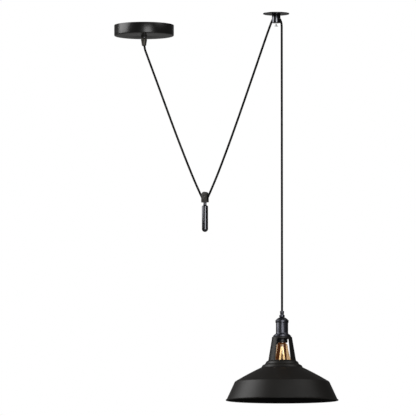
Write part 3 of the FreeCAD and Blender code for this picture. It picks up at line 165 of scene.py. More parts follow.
def finished(
    material: bpy.types.Material,
    sockets: dict[str | int, object],
    relief: bpy.types.NodeSocket,
    height_mm: float,
    sheen: bpy.types.NodeSocket | None = None,
    spread: float = 0.0,
) -> bpy.types.Material:
    """Ends a finish with its relief, its gloss and its shader.

    Args:
        material: The material that has the pattern's nodes.
        sockets: The shader's own values or links.
        relief: The pattern that stands up from the surface.
        height_mm: The relief's height in millimetres.
        sheen: A pattern that varies the roughness, if one does.
        spread: How far the roughness goes either way.

    Returns:
        The material itself.
    """
    tree = material.node_tree
    lifted = {"Height": relief, "Distance": height_mm * MM, "Strength": 1.0}
    looks = {**sockets, "Normal": add_node(tree, "ShaderNodeBump", sockets=lifted).outputs[0]}
    if sheen:
        rough, (low, high) = sockets["Roughness"], NOISE_SPAN
        limits = {"From Min": low, "From Max": high, "To Min": rough - spread, "To Max": rough + spread}
        looks["Roughness"] = add_node(tree, MAP_RANGE, sockets={"Value": sheen, **limits}).outputs[0]
    return set_surface(material, add_node(tree, PRINCIPLED, sockets=looks).outputs[0])


@dataclass(frozen=True)
class StoveEnamel:
    """Black stove enamel, sprayed on sheet steel and baked.

    It gives a warm near-black with a soft satin gloss, broken by a fine orange peel.
    """

    name: str
    colour: str = "#12100d"
    worn: str = "#171512"
    roughness: float = 0.47
    peel_mm: float = 1.4
    peel_height_mm: float = 0.003
    cloud_mm: float = 55.0
    gloss: float = 0.5
    ior: float = 1.5
    spread: float = 0.015

    def material(self) -> bpy.types.Material:
        """Builds the enamel's nodes.

        Returns:
            The material.
        """
        material, where = new_material(self.name)
        tree = material.node_tree
        fine = {"Vector": where, "Scale": 1000.0 / self.peel_mm, "Detail": 2.0}
        wide = {"Vector": where, "Scale": 1000.0 / self.cloud_mm, "Detail": 3.0}
        peel = add_node(tree, NOISE, sockets=fine).outputs["Fac"]
        cloud = add_node(tree, NOISE, sockets=wide).outputs["Fac"]
        tone = add_node(tree, MIX, COLOURS, {0: cloud, 6: linear(self.colour), 7: linear(self.worn)})
        sockets = {"Base Color": tone.outputs[2], "Roughness": self.roughness, "IOR": self.ior}
        sockets["Specular IOR Level"] = self.gloss
        return finished(material, sockets, peel, self.peel_height_mm, cloud, self.spread)


@dataclass(frozen=True)
class TurnedMetal:
    """Metal turned on a lathe and plated or left bare.

    Its fine turning lines run round the axis and stretch the highlights across them.
    """

    name: str
    colour: str
    shade: str
    roughness: float = 0.28
    # coarser than real turning lines, which are too fine to show in the render
    line_mm: float = 0.8
    line_height_mm: float = 0.0005
    along_mm: float = 100.0 / 3.0
    cloud_mm: float = 100.0 / 9.0
    spread: float = 0.03

    def material(self) -> bpy.types.Material:
        """Builds the metal's nodes.

        Returns:
            The material.
        """
        material, where = new_material(self.name)
        tree = material.node_tree
        scale = (1000.0 / self.along_mm, 1000.0 / self.along_mm, 1000.0 / self.line_mm)
        drawn = add_node(tree, MAPPING, sockets={"Vector": where, "Scale": scale}).outputs[0]
        wide = {"Vector": where, "Scale": 1000.0 / self.cloud_mm, "Detail": 2.0}
        lines = add_node(tree, NOISE, sockets={"Vector": drawn, "Scale": 1.0, "Detail": 2.0}).outputs["Fac"]
        cloud = add_node(tree, NOISE, sockets=wide).outputs["Fac"]
        tone = add_node(tree, MIX, COLOURS, {0: cloud, 6: linear(self.colour), 7: linear(self.shade)})
        sockets = {"Base Color": tone.outputs[2], "Metallic": 1.0, "Roughness": self.roughness}
        return finished(material, sockets, lines, self.line_height_mm, lines, self.spread)


@dataclass(frozen=True)
class MouldedPlastic:
    """Plastic pressed in a steel mould.

    Its even colour is broken by a shallow sheen of mould texture.
    """

    name: str
    colour: str
    roughness: float = 0.42
    # coarser than most mould textures, which are too fine to show in the render
    grain_mm: float = 0.5
    grain_height_mm: float = 0.01
    ior: float = 1.5
    spread: float = 0.06

    def material(self) -> bpy.types.Material:
        """Builds the plastic's nodes.

        Returns:
            The material.
        """
        material, where = new_material(self.name)
        fine = {"Vector": where, "Scale": 1000.0 / self.grain_mm, "Detail": 3.0}
        grain = add_node(material.node_tree, NOISE, sockets=fine).outputs["Fac"]
        sockets = {"Base Color": linear(self.colour), "Roughness": self.roughness, "IOR": self.ior}
        return finished(material, sockets, grain, self.grain_height_mm, grain, self.spread)


@dataclass(frozen=True)
class ClearBody:
    """Clear glass, or clear moulded plastic, tinted through its mass.

    It bends what lies behind it, catches the lamps in small bright spots and can carry a painted glow.
    """

    name: str
    colour: str
    ior: float
    roughness: float = 0.0
    ripple_mm: float = 18.0
    ripple_height_mm: float = 0.02
    # a painted glow: an emission colour and strength that stand in for light scattered in the glass
    painted_glow: str = "#000000"
    painted_glow_strength: float = 0.0

    def material(self) -> bpy.types.Material:
        """Builds the clear body's nodes.

        Returns:
            The material.
        """
        material, where = new_material(self.name)
        wide = {"Vector": where, "Scale": 1000.0 / self.ripple_mm, "Detail": 0.0}
        ripple = add_node(material.node_tree, NOISE, sockets=wide).outputs["Fac"]
        sockets = {
            "Base Color": linear(self.colour),
            "Roughness": self.roughness,
            "IOR": self.ior,
            "Transmission Weight": 1.0,
            "Emission Color": linear(self.painted_glow),
            "Emission Strength": self.painted_glow_strength,
        }
        return finished(material, sockets, ripple, self.ripple_height_mm)


@dataclass(frozen=True)
class GlowingRod:
    """A phosphor-coated filament stick, lit.

    Its powder coat scatters a warm light that varies a little with its grain.
    """

    name: str
    colour: str
    glow: str
    strength: float
    # coarser than the real powder, whose grain is too fine to show in the render
    grain_mm: float = 0.8
    roughness: float = 0.7
    spread: float = 0.2

    def material(self) -> bpy.types.Material:
        """Builds the glowing coat's nodes.

        Returns:
            The material.
        """
        material, where = new_material(self.name)
        tree = material.node_tree
        fine = {"Vector": where, "Scale": 1000.0 / self.grain_mm, "Detail": 2.0}
        grain = add_node(tree, NOISE, sockets=fine).outputs["Fac"]
        least, most = (self.strength * share for share in (1.0 - self.spread, 1.0 + self.spread))
        limits = {"To Min": least, "To Max": most}
        power = add_node(tree, MAP_RANGE, sockets={"Value": grain, **limits}).outputs[0]
        sockets = {"Base Color": linear(self.colour), "Roughness": self.roughness}
        sockets |= {"Emission Color": linear(self.glow), "Emission Strength": power}
        return set_surface(material, add_node(tree, PRINCIPLED, sockets=sockets).outputs[0])


@dataclass(frozen=True)
class BraidedSleeve:
    """Black polyester yarn braided over a round cable.

    Crossing strands give it a fine diamond relief and a dull shine, and their crowns are painted a
    little lighter, a painted sheen. It reads the cord's own map: along it in millimetres, round
    it in turns.
    """

    name: str
    colour: str = "#0e0e0e"
    # the colour on the strands' crowns: a painted sheen, a little lighter than the black
    crown_and_painted_sheen: str = "#141413"
    # fewer and coarser than the real yarns, which are too fine to show in the render, and laid
    # flatter, which keeps the cord as dark as the real one
    strands: int = 8
    lay_mm: float = 2.4
    diagonal: float = 1.4142
    strand_height_mm: float = 0.03
    roughness: float = 0.8
    gloss: float = 0.15

    def material(self) -> bpy.types.Material:
        """Builds the braid's nodes.

        Returns:
            The material.
        """
        material, _ = new_material(self.name)
        tree = material.node_tree
        chart = add_node(tree, "ShaderNodeUVMap", {"uv_map": CHART}).outputs[0]
        scale = (self.diagonal / self.lay_mm, self.diagonal * self.strands / 2.0, 1.0)
        slant = {"Rotation": (0.0, 0.0, math.radians(45.0)), "Scale": scale}
        crossed = add_node(tree, MAPPING, sockets={"Vector": chart, **slant}).outputs[0]
        weave = add_node(tree, "ShaderNodeTexChecker", sockets={"Vector": crossed, "Scale": 1.0})
        cell = add_node(tree, "ShaderNodeVectorMath", {"operation": "FRACTION"}, {0: crossed})
        axes = add_node(tree, "ShaderNodeSeparateXYZ", sockets={0: cell.outputs[0]}).outputs
        ways = {0: weave.outputs["Fac"], 2: axes["X"], 3: axes["Y"]}
        over = add_node(tree, MIX, {"data_type": "FLOAT"}, ways).outputs[0]
        half_turn = add_node(tree, MATHS, {"operation": "MULTIPLY"}, {0: over, 1: math.pi}).outputs[0]
        crown_and_painted_sheen = add_node(tree, MATHS, {"operation": "SINE"}, {0: half_turn}).outputs[0]
        # the crowns get the lighter colour, a painted sheen, and the same wave lifts them as relief
        tone = add_node(tree, MIX, COLOURS, {0: crown_and_painted_sheen, 6: linear(self.colour), 7: linear(self.crown_and_painted_sheen)})
        sockets = {"Base Color": tone.outputs[2], "Roughness": self.roughness}
        sockets["Specular IOR Level"] = self.gloss
        return finished(material, sockets, crown_and_painted_sheen, self.strand_height_mm)


@dataclass(frozen=True)
class StripedCore:
    """Pressed-on plastic insulation of a wire.

    It is a smooth plain colour, or on the earth wire one with a stripe that runs along it.
    It reads the wire's own map.
    """

    name: str
    colour: str
    stripe: str
    # the wave's scale at which it makes one band in one turn round the wire, and the stripe's soft edge
    turn_scale: float = 0.31416
    stripe_edge: Point = (0.45, 0.55)
    roughness: float = 0.38

    def material(self) -> bpy.types.Material:
        """Builds the insulation's nodes.

        Returns:
            The material.
        """
        material, _ = new_material(self.name)
        tree = material.node_tree
        chart = add_node(tree, "ShaderNodeUVMap", {"uv_map": CHART}).outputs[0]
        around = {"wave_profile": "SIN", "bands_direction": "Y"}
        laid = {"Vector": chart, "Scale": self.turn_scale, "Distortion": 0.0}
        bands = add_node(tree, "ShaderNodeTexWave", around, laid).outputs["Fac"]
        crisp = {"Value": bands, "From Min": self.stripe_edge[0], "From Max": self.stripe_edge[1]}
        edge = add_node(tree, MAP_RANGE, sockets=crisp).outputs[0]
        tone = add_node(tree, MIX, COLOURS, {0: edge, 6: linear(self.colour), 7: linear(self.stripe)})
        sockets = {"Base Color": tone.outputs[2], "Roughness": self.roughness}
        return set_surface(material, add_node(tree, PRINCIPLED, sockets=sockets).outputs[0])


class Finish(Enum):
    """The finishes of the real pendant."""

    # satin enamel: a warm near-black whose gloss is soft enough to hide the lamps' outlines
    SHADE_ENAMEL = StoveEnamel("satin_black_stove_enamel", gloss=0.36)
    # gloss enamel: the same black with clearer reflections, as on the canopy and the guide's plate
    GLOSS_ENAMEL = StoveEnamel("gloss_black_stove_enamel", "#0f0e0e", "#161514", 0.29, 1.1, 0.0015)
    # matt enamel: the shade's inside, duller than the outside and painted a darker black, a painted shade for
    # the hollow
    MATT_ENAMEL = StoveEnamel("matt_black_enamel_painted_shade", "#0c0b0a", "#100f0e", 0.7, gloss=0.15)
    # black nickel: a dark bluish mirror dulled by turning lines
    BLACK_NICKEL = TurnedMetal("black_nickel_plated_brass", "#47474a", "#3c3c3f", 0.22)
    # polished black nickel: a smoky grey mirror on the guide and the weight
    SMOKY_NICKEL = TurnedMetal("polished_black_nickel", "#5e5f63", "#535458", 0.2)
    # blackened casting: a warm dull grey that takes a wide light on one side
    CAST_METAL = TurnedMetal("blackened_zinc_casting", "#625f59", "#5a5752", 0.55)
    # satin black nickel: the lampholder's brushed plating, a lighter grey with wide soft highlights
    SATIN_NICKEL = TurnedMetal("satin_black_nickel_on_brass", "#55565c", "#4a4b51", 0.38)
    # lacquered casting: a plain dark brown-black that hardly shines
    LACQUER = StoveEnamel("black_lacquered_casting", "#2a2825", "#33302c", 0.55, gloss=0.3)
    # bright zinc: a pale grey metal with a slight blue cast
    ZINC = TurnedMetal("zinc_plated_steel", "#b9bcc0", "#9fa3a8", 0.3, 0.5, 0.002)
    # brass: a warm yellow metal, left bare on the contacts
    BRASS = TurnedMetal("bare_brass", "#c9a45c", "#b18d4a", 0.28)
    # nickel: a warm white metal on the bulb's cap and its wires
    NICKEL = TurnedMetal("nickel_plated_brass", "#c4bfb5", "#a9a49a", 0.25)
    # phenolic: a hard black moulding with a low gloss
    PHENOLIC = MouldedPlastic("black_phenolic_moulding", "#191919")
    # acetal: a waxy black plastic for the sheave
    ACETAL = MouldedPlastic("black_acetal", "#1d1d1e", 0.35)
    # polyamide: a creamy white moulding
    POLYAMIDE = MouldedPlastic("white_polyamide", "#e9e6dc", 0.45)
    # soda-lime glass stained amber: it turns white light to honey, and a faint amber emission is a
    # painted glow that stands in for the filaments' light scattered in the glass
    AMBER_GLASS = ClearBody("amber_soda_lime_glass", "#ddcbb0", 1.5, painted_glow="#a8683f", painted_glow_strength=0.05)
    # stem glass: clear, and a little uneven where it was pressed
    STEM_GLASS = ClearBody("pressed_stem_glass", "#f6f1e6", 1.5, 0.05, 5.0, 0.2)
    # acrylic: clear and faintly grey, with a dulled face that hardly sparkles
    ACRYLIC = ClearBody("clear_acrylic", "#dfe2e2", 1.49, 0.35)
    # lit filament: a warm white powder coat
    FILAMENT = GlowingRod("lit_filament_coat", "#f3e3bd", "#fff2cc", 1.6)
    # braided polyester: a dull black of crossing strands that hardly shines
    BRAID = BraidedSleeve("black_braided_polyester")
    # extruded wire insulation: an even colour with a soft shine, and green with a yellow stripe for earth
    CORE_BROWN = StripedCore("brown_wire_insulation", "#5b3a24", "#5b3a24")
    CORE_BLUE = StripedCore("blue_wire_insulation", "#2d62a8", "#2d62a8")
    CORE_EARTH = StripedCore("earth_wire_insulation", "#3f9142", "#e0cf3a")

    def material(self) -> bpy.types.Material:
        """Gives the finish's material, built once."""
        found = bpy.data.materials.get(self.value.name)
        return found or self.value.material()


# ------------------------------------------------------------------ meshes


def spun(
    mesh: bmesh.types.BMesh,
    geom: Sequence[object],
    angle: float,
    steps: int,
    merge: bool = True,
    rise: float = 0.0,
    centre: Sequence[float] = (0.0, 0.0, 0.0),
    axis: Sequence[float] = (0.0, 0.0, 1.0),
) -> list[object]:
    """Spins part of a mesh, round the Z axis if no other is given.

    Args:
        mesh: The mesh.
        geom: The vertices, edges and faces that are spun.
        angle: The spin's whole angle in radians.
        steps: The faces along the spin.
        merge: Whether the end closes on the start.
        rise: The climb of one step.
        centre: A point of the axis.
        axis: The axis's direction.

    Returns:
        What stands at the spin's end.
    """
    made = bmesh.ops.spin(
        mesh,
        geom=geom,
        cent=centre,
        axis=axis,
        dvec=(0.0, 0.0, rise),
        angle=angle,
        steps=steps,
        use_merge=merge,
        use_normal_flip=False,
        use_duplicate=False,
    )
    return made["geom_last"]


class Outline:
    """A chain of edges in the XZ plane, in millimetres, that turns into a round piece."""

    def __init__(self, radius: float, level: float) -> None:
        """Starts the chain at a point.

        Args:
            radius: The point's distance from the axis.
            level: The point's height.
        """
        self.mesh = bmesh.new()
        self.first = self.mesh.verts.new((radius, 0.0, level))
        self.last = self.first

    def to(self, *points: Point) -> "Outline":
        """Adds straight runs to one point after another.

        Args:
            points: The points' radius and level.

        Returns:
            The outline itself.
        """
        for radius, level in points:
            vertex = self.mesh.verts.new((radius, 0.0, level))
            self.mesh.edges.new((self.last, vertex))
            self.last = vertex
        return self

    def arc(self, radius: float, level: float, bend: float, side: Side, steps: int = 6) -> "Outline":
        """Adds an arc to a point.

        Args:
            radius: The point's distance from the axis.
            level: The point's height.
            bend: The arc's radius.
            side: The side of its centre.
            steps: The edges that it gets.

        Returns:
            The outline itself.
        """
        start = self.last.co.copy()
        end = Vector((radius, 0.0, level))
        chord = end - start
        half = chord.length / 2.0
        normal = Vector((-chord.z, 0.0, chord.x)).normalized()
        height = math.sqrt(max(bend * bend - half * half, 0.0))
        centre = (start + end) / 2.0 + normal * (height * side.value)
        turn = 2.0 * math.asin(min(1.0, half / bend))
        turned = turn * side.value
        reached = spun(self.mesh, [self.last], turned, steps, False, centre=centre, axis=(0.0, -1.0, 0.0))
        self.last = next(item for item in reached if isinstance(item, bmesh.types.BMVert))
        return self

    @classmethod
    def along(cls, profile: Profile) -> "Outline":
        """Draws a whole profile.

        Args:
            profile: The profile's corners.

        Returns:
            The outline, left open at its end.
        """
        outline = cls(*profile[0])
        for step in profile[1:]:
            if len(step) > 2:
                outline.arc(*step)
            else:
                outline.to(step)
        return outline

    def close(self) -> "Outline":
        """Joins the chain's end to its start."""
        self.mesh.edges.new((self.last, self.first))
        return self

    def turned(self, steps: int = 96) -> bmesh.types.BMesh:
        """Spins the chain a full turn round the Z axis.

        Args:
            steps: The number of faces round the piece.

        Returns:
            The turned mesh, with its poles and its seam merged.
        """
        spun(self.mesh, self.mesh.verts[:] + self.mesh.edges[:], FULL_TURN, steps)
        bmesh.ops.remove_doubles(self.mesh, verts=self.mesh.verts[:], dist=MERGE_MM)
        bmesh.ops.recalc_face_normals(self.mesh, faces=self.mesh.faces[:])
        return self.mesh


@dataclass(frozen=True)
class ThreadRidge:
    """A helical ridge that stands on a round core, in millimetres."""

    # the crest's distance from the axis, its height over the core, one turn's rise and where it starts
    radius: float
    depth: float
    pitch: float
    foot: float
    turns: float

    def mesh(self) -> bmesh.types.BMesh:
        """Spins the ridge's section along its helix.

        Returns:
            A closed mesh of the ridge.
        """
        mesh = bmesh.new()
        section = [
            (self.radius - self.depth * sink, self.foot + self.pitch * rise)
            for sink, rise in THREAD_SECTION
        ]
        mesh.faces.new([mesh.verts.new((x, 0.0, z)) for x, z in section])
        steps = int(self.turns * THREAD_STEPS)
        whole = mesh.faces[:] + mesh.edges[:] + mesh.verts[:]
        spun(mesh, whole, FULL_TURN * self.turns, steps, False, self.pitch * self.turns / steps)
        bmesh.ops.recalc_face_normals(mesh, faces=mesh.faces[:])
        return mesh


def joined(*meshes: bmesh.types.BMesh) -> bmesh.types.BMesh:
    """Puts several meshes into the first one.

    Args:
        meshes: The meshes, of which all but the first are freed.

    Returns:
        The first mesh, with the others in it.
    """
    first = meshes[0]
    for other in meshes[1:]:
        carrier = bpy.data.meshes.new("carrier")
        other.to_mesh(carrier)
        other.free()
        first.from_mesh(carrier)
        bpy.data.meshes.remove(carrier)
    return first


def softened(mesh: bmesh.types.BMesh, width: float, limit: float = 32.0, segments: int = 2) -> None:
    """Bevels every edge that is sharper than a limit.

    Args:
        mesh: The mesh to soften.
        width: The bevel's width, in the mesh's own unit.
        limit: The least angle between two faces, in degrees.
        segments: The faces across the bevel.
    """
    sharp = [
        edge
        for edge in mesh.edges
        if len(edge.link_faces) == 2 and edge.calc_face_angle(0.0) > math.radians(limit)
    ]
    if sharp:
        bmesh.ops.bevel(
            mesh,
            geom=sharp,
            offset=width,
            offset_type="OFFSET",
            segments=segments,
            profile=0.5,
            affect="EDGES",
            clamp_overlap=True,
            material=-1,
        )


@dataclass
class Fitting:
    """How a finished mesh goes into the scene."""

    body: str
    finish: Finish
    slot: str
    nodes: Sequence[str] = ()
    place: Place = (0.0, 0.0, 0.0)
    edge: float = 0.25
    sharp: float = 30.0

    def add(self, name: str, mesh: bmesh.types.BMesh, scale: float = MM) -> bpy.types.Object:
        """Makes the object of a mesh, with its place in the mesh.

        Args:
            name: The object's name.
            mesh: The mesh, which is freed.
            scale: The mesh's unit in metres.

        Returns:
            The new object, riding on its body.
        """
        if self.edge > 0.0:
            softened(mesh, self.edge * MM / scale)
        bmesh.ops.scale(mesh, verts=mesh.verts[:], vec=(scale, scale, scale))
        bmesh.ops.translate(mesh, verts=mesh.verts[:], vec=[part * MM for part in self.place])
        data = bpy.data.meshes.new(name)
        mesh.to_mesh(data)
        mesh.free()
        data.shade_smooth()
        data.set_sharp_from_angle(angle=math.radians(self.sharp))
        data.materials.append(self.finish.material())
        piece = bpy.data.objects.new(name, data)
        bpy.context.scene.collection.objects.link(piece)
        if self.body:
            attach(piece, self.body)
        if self.nodes:
            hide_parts(*self.nodes)
        log.info("%s: %d faces", name, len(data.polygons))
        return piece

    def add_refined(self, name: str, node: str, edge: float) -> bpy.types.Object:
        """Makes a copy of a CAD node with merged triangles and softened edges.

        Args:
            name: The object's name.
            node: The CAD node that it stands for.
            edge: The width of its bevels in millimetres.

        Returns:
            The new object.
        """
        mesh = bmesh.new()
        mesh.from_mesh(frame["nodes"][node].data)
        bmesh.ops.remove_doubles(mesh, verts=mesh.verts[:], dist=MERGE_METRES)
        bmesh.ops.dissolve_limit(
            mesh, angle_limit=math.radians(FLAT_DEGREES), verts=mesh.verts[:], edges=mesh.edges[:]
        )
        self.edge = edge
        self.nodes = (node,)
        return self.add(name, mesh, 1.0)


def frame_slot(node: str) -> str:
    """Looks up the record's material slot of a CAD node.

    Args:
        node: The node's name.

    Returns:
        The slot's name.
    """
    for part in frame["record"]["subparts"]:
        if part["node"] == node:
            return part["material_slot"]
    raise KeyError(node)


def refine(body: str, pieces: Sequence[tuple[str, str, Finish, float]]) -> None:
    """Makes the pieces that keep the shape of their CAD node.

    Args:
        body: The body that they ride on.
        pieces: The name, the CAD node, the finish and the bevels' width in millimetres of each.
    """
    for name, node, finish, edge in pieces:
        Fitting(body, finish, frame_slot(node)).add_refined(name, node, edge)


def rod(
    start: Vector, end: Vector, radius: float, sides: int = 16, rounding: float = 0.45
) -> bmesh.types.BMesh:
    """Makes a round rod with softened ends, in millimetres.

    Args:
        start: The middle of one end.
        end: The middle of the other.
        radius: Its radius.
        sides: The faces round it.
        rounding: The ends' softening as a share of the radius.

    Returns:
        The rod's mesh.
    """
    line = end - start
    mesh = bmesh.new()
    place = Matrix.Translation((start + end) / 2.0) @ line.to_track_quat("Z", "Y").to_matrix().to_4x4()
    bmesh.ops.create_cone(
        mesh,
        cap_ends=True,
        cap_tris=False,
        segments=sides,
        radius1=radius,
        radius2=radius,
        depth=line.length,
        matrix=place,
    )
    softened(mesh, radius * rounding, limit=40.0, segments=3)
    return mesh


# ------------------------------------------------------------------ cords and wires


@dataclass
class Route:
    """A smooth line through control points, read back from a NURBS spline."""

    points: Sequence[Place]
    resolution: int = 14
    order: int = 3

    def read(self, name: str) -> list[Vector]:
        """Reads the spline's own points.

        Args:
            name: A name for the passing curve.

        Returns:
            The points along the line, in metres.
        """
        curve = bpy.data.curves.new(name + "_route", "CURVE")
        curve.dimensions = "3D"
        curve.resolution_u = self.resolution
        spline = curve.splines.new("NURBS")
        spline.points.add(len(self.points) - 1)
        for held, place in zip(spline.points, self.points):
            held.co = (*place, 1.0)
        spline.order_u = self.order
        spline.use_endpoint_u = True
        carrier = bpy.data.objects.new(name + "_route", curve)
        line = bpy.data.meshes.new_from_object(carrier)
        path = [vertex.co.copy() for vertex in line.vertices]
        bpy.data.meshes.remove(line)
        bpy.data.objects.remove(carrier)
        bpy.data.curves.remove(curve)
        return path


def sleeve(path: Sequence[Vector], radius: float, sides: int) -> bmesh.types.BMesh:
    """A round tube along a path, mapped in millimetres along it and in turns round it.

    Args:
        path: The points that it follows, in metres.
        radius: Its radius in metres.
        sides: The faces round it.

    Returns:
        The tube with closed ends.
    """
    mesh = bmesh.new()
    ways = []
    for at in range(len(path)):
        before = path[max(at - 1, 0)]
        after = path[min(at + 1, len(path) - 1)]
        ways.append((after - before).normalized())
    turn = ways[0].to_track_quat("Z", "Y")
    stand = Matrix.Translation(path[0]) @ turn.to_matrix().to_4x4()
    ring_layer = mesh.verts.layers.int.new("ring")
    side_layer = mesh.verts.layers.int.new("side")
    chart = mesh.loops.layers.uv.new(CHART)
    made = bmesh.ops.create_circle(mesh, cap_ends=False, segments=sides, radius=radius, matrix=stand)
    for number, vertex in enumerate(made["verts"]):
        vertex[side_layer] = number
    edges = mesh.edges[:]
    lengths = [0.0]
    for at in range(1, len(path)):
        grown = bmesh.ops.extrude_edge_only(mesh, edges=edges)["geom"]
        ring = [item for item in grown if isinstance(item, bmesh.types.BMVert)]
        edges = [item for item in grown if isinstance(item, bmesh.types.BMEdge)]
        turn = ways[at - 1].rotation_difference(ways[at]) @ turn
        after = Matrix.Translation(path[at]) @ turn.to_matrix().to_4x4()
        bmesh.ops.transform(mesh, matrix=after @ stand.inverted(), verts=ring)
        stand = after
        lengths.append(lengths[-1] + (path[at] - path[at - 1]).length)
        for vertex in ring:
            vertex[ring_layer] = at
    for face in mesh.faces:
        numbers = [loop.vert[side_layer] for loop in face.loops]
        wraps = max(numbers) - min(numbers) > sides / 2
        for loop, number in zip(face.loops, numbers):
            shifted = number + sides if wraps and number == 0 else number
            loop[chart].uv = (lengths[loop.vert[ring_layer]] / MM, shifted / sides)
    bmesh.ops.holes_fill(mesh, edges=[edge for edge in mesh.edges if edge.is_boundary], sides=0)
    bmesh.ops.recalc_face_normals(mesh, faces=mesh.faces[:])
    return mesh


@dataclass
class Stretch:
    """One stretch of the pendant's cord."""

    name: str
    nodes: tuple[str, ...]
    run: tuple[Point, ...]
    body: str = ""
    between: tuple[str, str] = ("", "")
    start: Point = (0.0, 0.0)
    end: Point = (0.0, 0.0)
    length: float = 0.0
    radius: float = 0.0035
    sides: int = 20

    def build(self) -> bpy.types.Object:
        """Returns:
            The stretch's object.
        """
        path = Route([(x, 0.0, z) for x, z in self.run]).read(self.name)
        mesh = sleeve(path, self.radius, self.sides)
        fitting = Fitting(self.body, Finish.BRAID, "black_textile", self.nodes, edge=0.0, sharp=50.0)
        piece = fitting.add(self.name, mesh, 1.0)
        if not self.body:
            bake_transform(piece)
        return piece


@dataclass
class Cord:
    """The pendant's cord: from the canopy down round the sheave, up to the guide, down to the lamp."""

    stretches: tuple[Stretch, ...] = (
        Stretch(
            "cord_entry",
            ("cord_canopy_entry",),
            ((0.0, -0.0265), (0.0, -0.032), (0.0, -0.038)),
            "ceiling",
        ),
        Stretch(
            "cord_tail",
            ("cord_grip_tail",),
            ((0.0, -0.042), (0.0, -0.0717), (0.0122, -0.0988), (0.0246, -0.12635)),
            between=("canopy_grip", "ceiling"),
            start=(0.0, -0.0715),
            end=(0.0246, -0.12635),
            length=0.089,
        ),
        Stretch(
            "cord_leg_left",
            ("cord_left_leg",),
            (
                (0.0246, -0.12635), (0.06, -0.205), (0.132, -0.3665),
                (0.1895, -0.487), (0.22172, -0.54953), (0.23917, -0.57975),
            ),
            between=("ceiling", "weight"),
            start=(0.0220, -0.1209),
            end=(0.2417, -0.5852),
            length=0.502,
        ),
        Stretch(
            "cord_leg_right",
            ("cord_right_leg",),
            (
                (0.26083, -0.57975), (0.27713, -0.55152), (0.3111, -0.487), (0.3679, -0.3665),
                (0.4393, -0.205), (0.51783, -0.0246), (0.5232, -0.01922),
            ),
            between=("weight", "ceiling"),
            start=(0.2582, -0.5852),
            end=(0.5258, -0.0138),
            length=0.619,
        ),
        Stretch(
            "cord_in_guide",
            ("cord_guide_run",),
            ((0.5232, -0.01922), (0.5289, -0.0135), (0.5451, -0.0135), (0.5508, -0.01922)),
            "ceiling",
        ),
        Stretch(
            "cord_drop_line",
            ("cord_drop",),
            ((0.5508, -0.01922), (0.559, -0.02744), (0.559, -0.066), (0.559, -0.9585)),
            between=("ceiling", "lamp"),
            start=(0.559, -0.030),
            end=(0.559, -0.9585),
            length=0.9415,
        ),
        Stretch(
            "cord_in_holder",
            ("cord_lamp_end",),
            ((0.559, -0.9585), (0.559, -0.972), (0.559, -0.9857)),
            "lamp",
        ),
        Stretch(
            "cord_sheave_bend",
            ("cord_sheave_turn",),
            (
                (0.23917, -0.57975), (0.24217, -0.58495), (0.24700, -0.58600),
                (0.25300, -0.58600), (0.25783, -0.58495), (0.26083, -0.57975),
            ),
            "weight",
        ),
    )

    def build(self) -> None:
        """Makes every stretch."""
        for stretch in self.stretches:
            stretch.build()


# ------------------------------------------------------------------ ceiling pieces


@dataclass
class Canopy:
    """The cup against the ceiling with the fixing and the wiring that it hides."""

    radius: float = 97.5
    height: float = 35.0
    wall: float = 1.5
    edge: float = 2.5
    hole: float = 5.1
    cup_edge: float = 0.2
    hardware_edge: float = 0.15
    screw_edge: float = 0.1
    hardware: dict[str, Finish] = field(
        default_factory=lambda: {
            "ceiling_bracket": Finish.ZINC,
            "canopy_nipple": Finish.ZINC,
            "nipple_washer": Finish.ZINC,
            "nipple_nut": Finish.ZINC,
            "earth_screw": Finish.ZINC,
            "terminal_screws": Finish.ZINC,
            "terminal_sleeves": Finish.BRASS,
            "terminal_block": Finish.POLYAMIDE,
        }
    )

    def shell(self) -> bmesh.types.BMesh:
        """The cup: an open top, a drawn lower edge and a hole for the nipple.

        Returns:
            The cup's mesh.
        """
        inner = self.radius - self.wall
        floor = -self.height
        bend = self.edge - self.wall
        outline = Outline(self.hole, floor).to((self.radius - self.edge, floor))
        outline.arc(self.radius, floor + self.edge, self.edge, Side.LEFT)
        outline.to((self.radius, 0.0), (inner, 0.0), (inner, floor + self.wall + bend))
        outline.arc(inner - bend, floor + self.wall, bend, Side.RIGHT)
        return outline.to((self.hole, floor + self.wall)).close().turned(160)

    def build(self) -> None:
        """Makes the cup, the pieces that it hides and the screws that hold it."""
        cup = Fitting("ceiling", Finish.GLOSS_ENAMEL, "black_paint", ("canopy_cup",), edge=self.cup_edge)
        cup.add("canopy_shell", self.shell())
        edge = self.hardware_edge
        refine("ceiling", [(f"{node}_piece", node, finish, edge) for node, finish in self.hardware.items()])
        refine("ceiling", [("canopy_screws_piece", "canopy_screws", Finish.BLACK_NICKEL, self.screw_edge)])


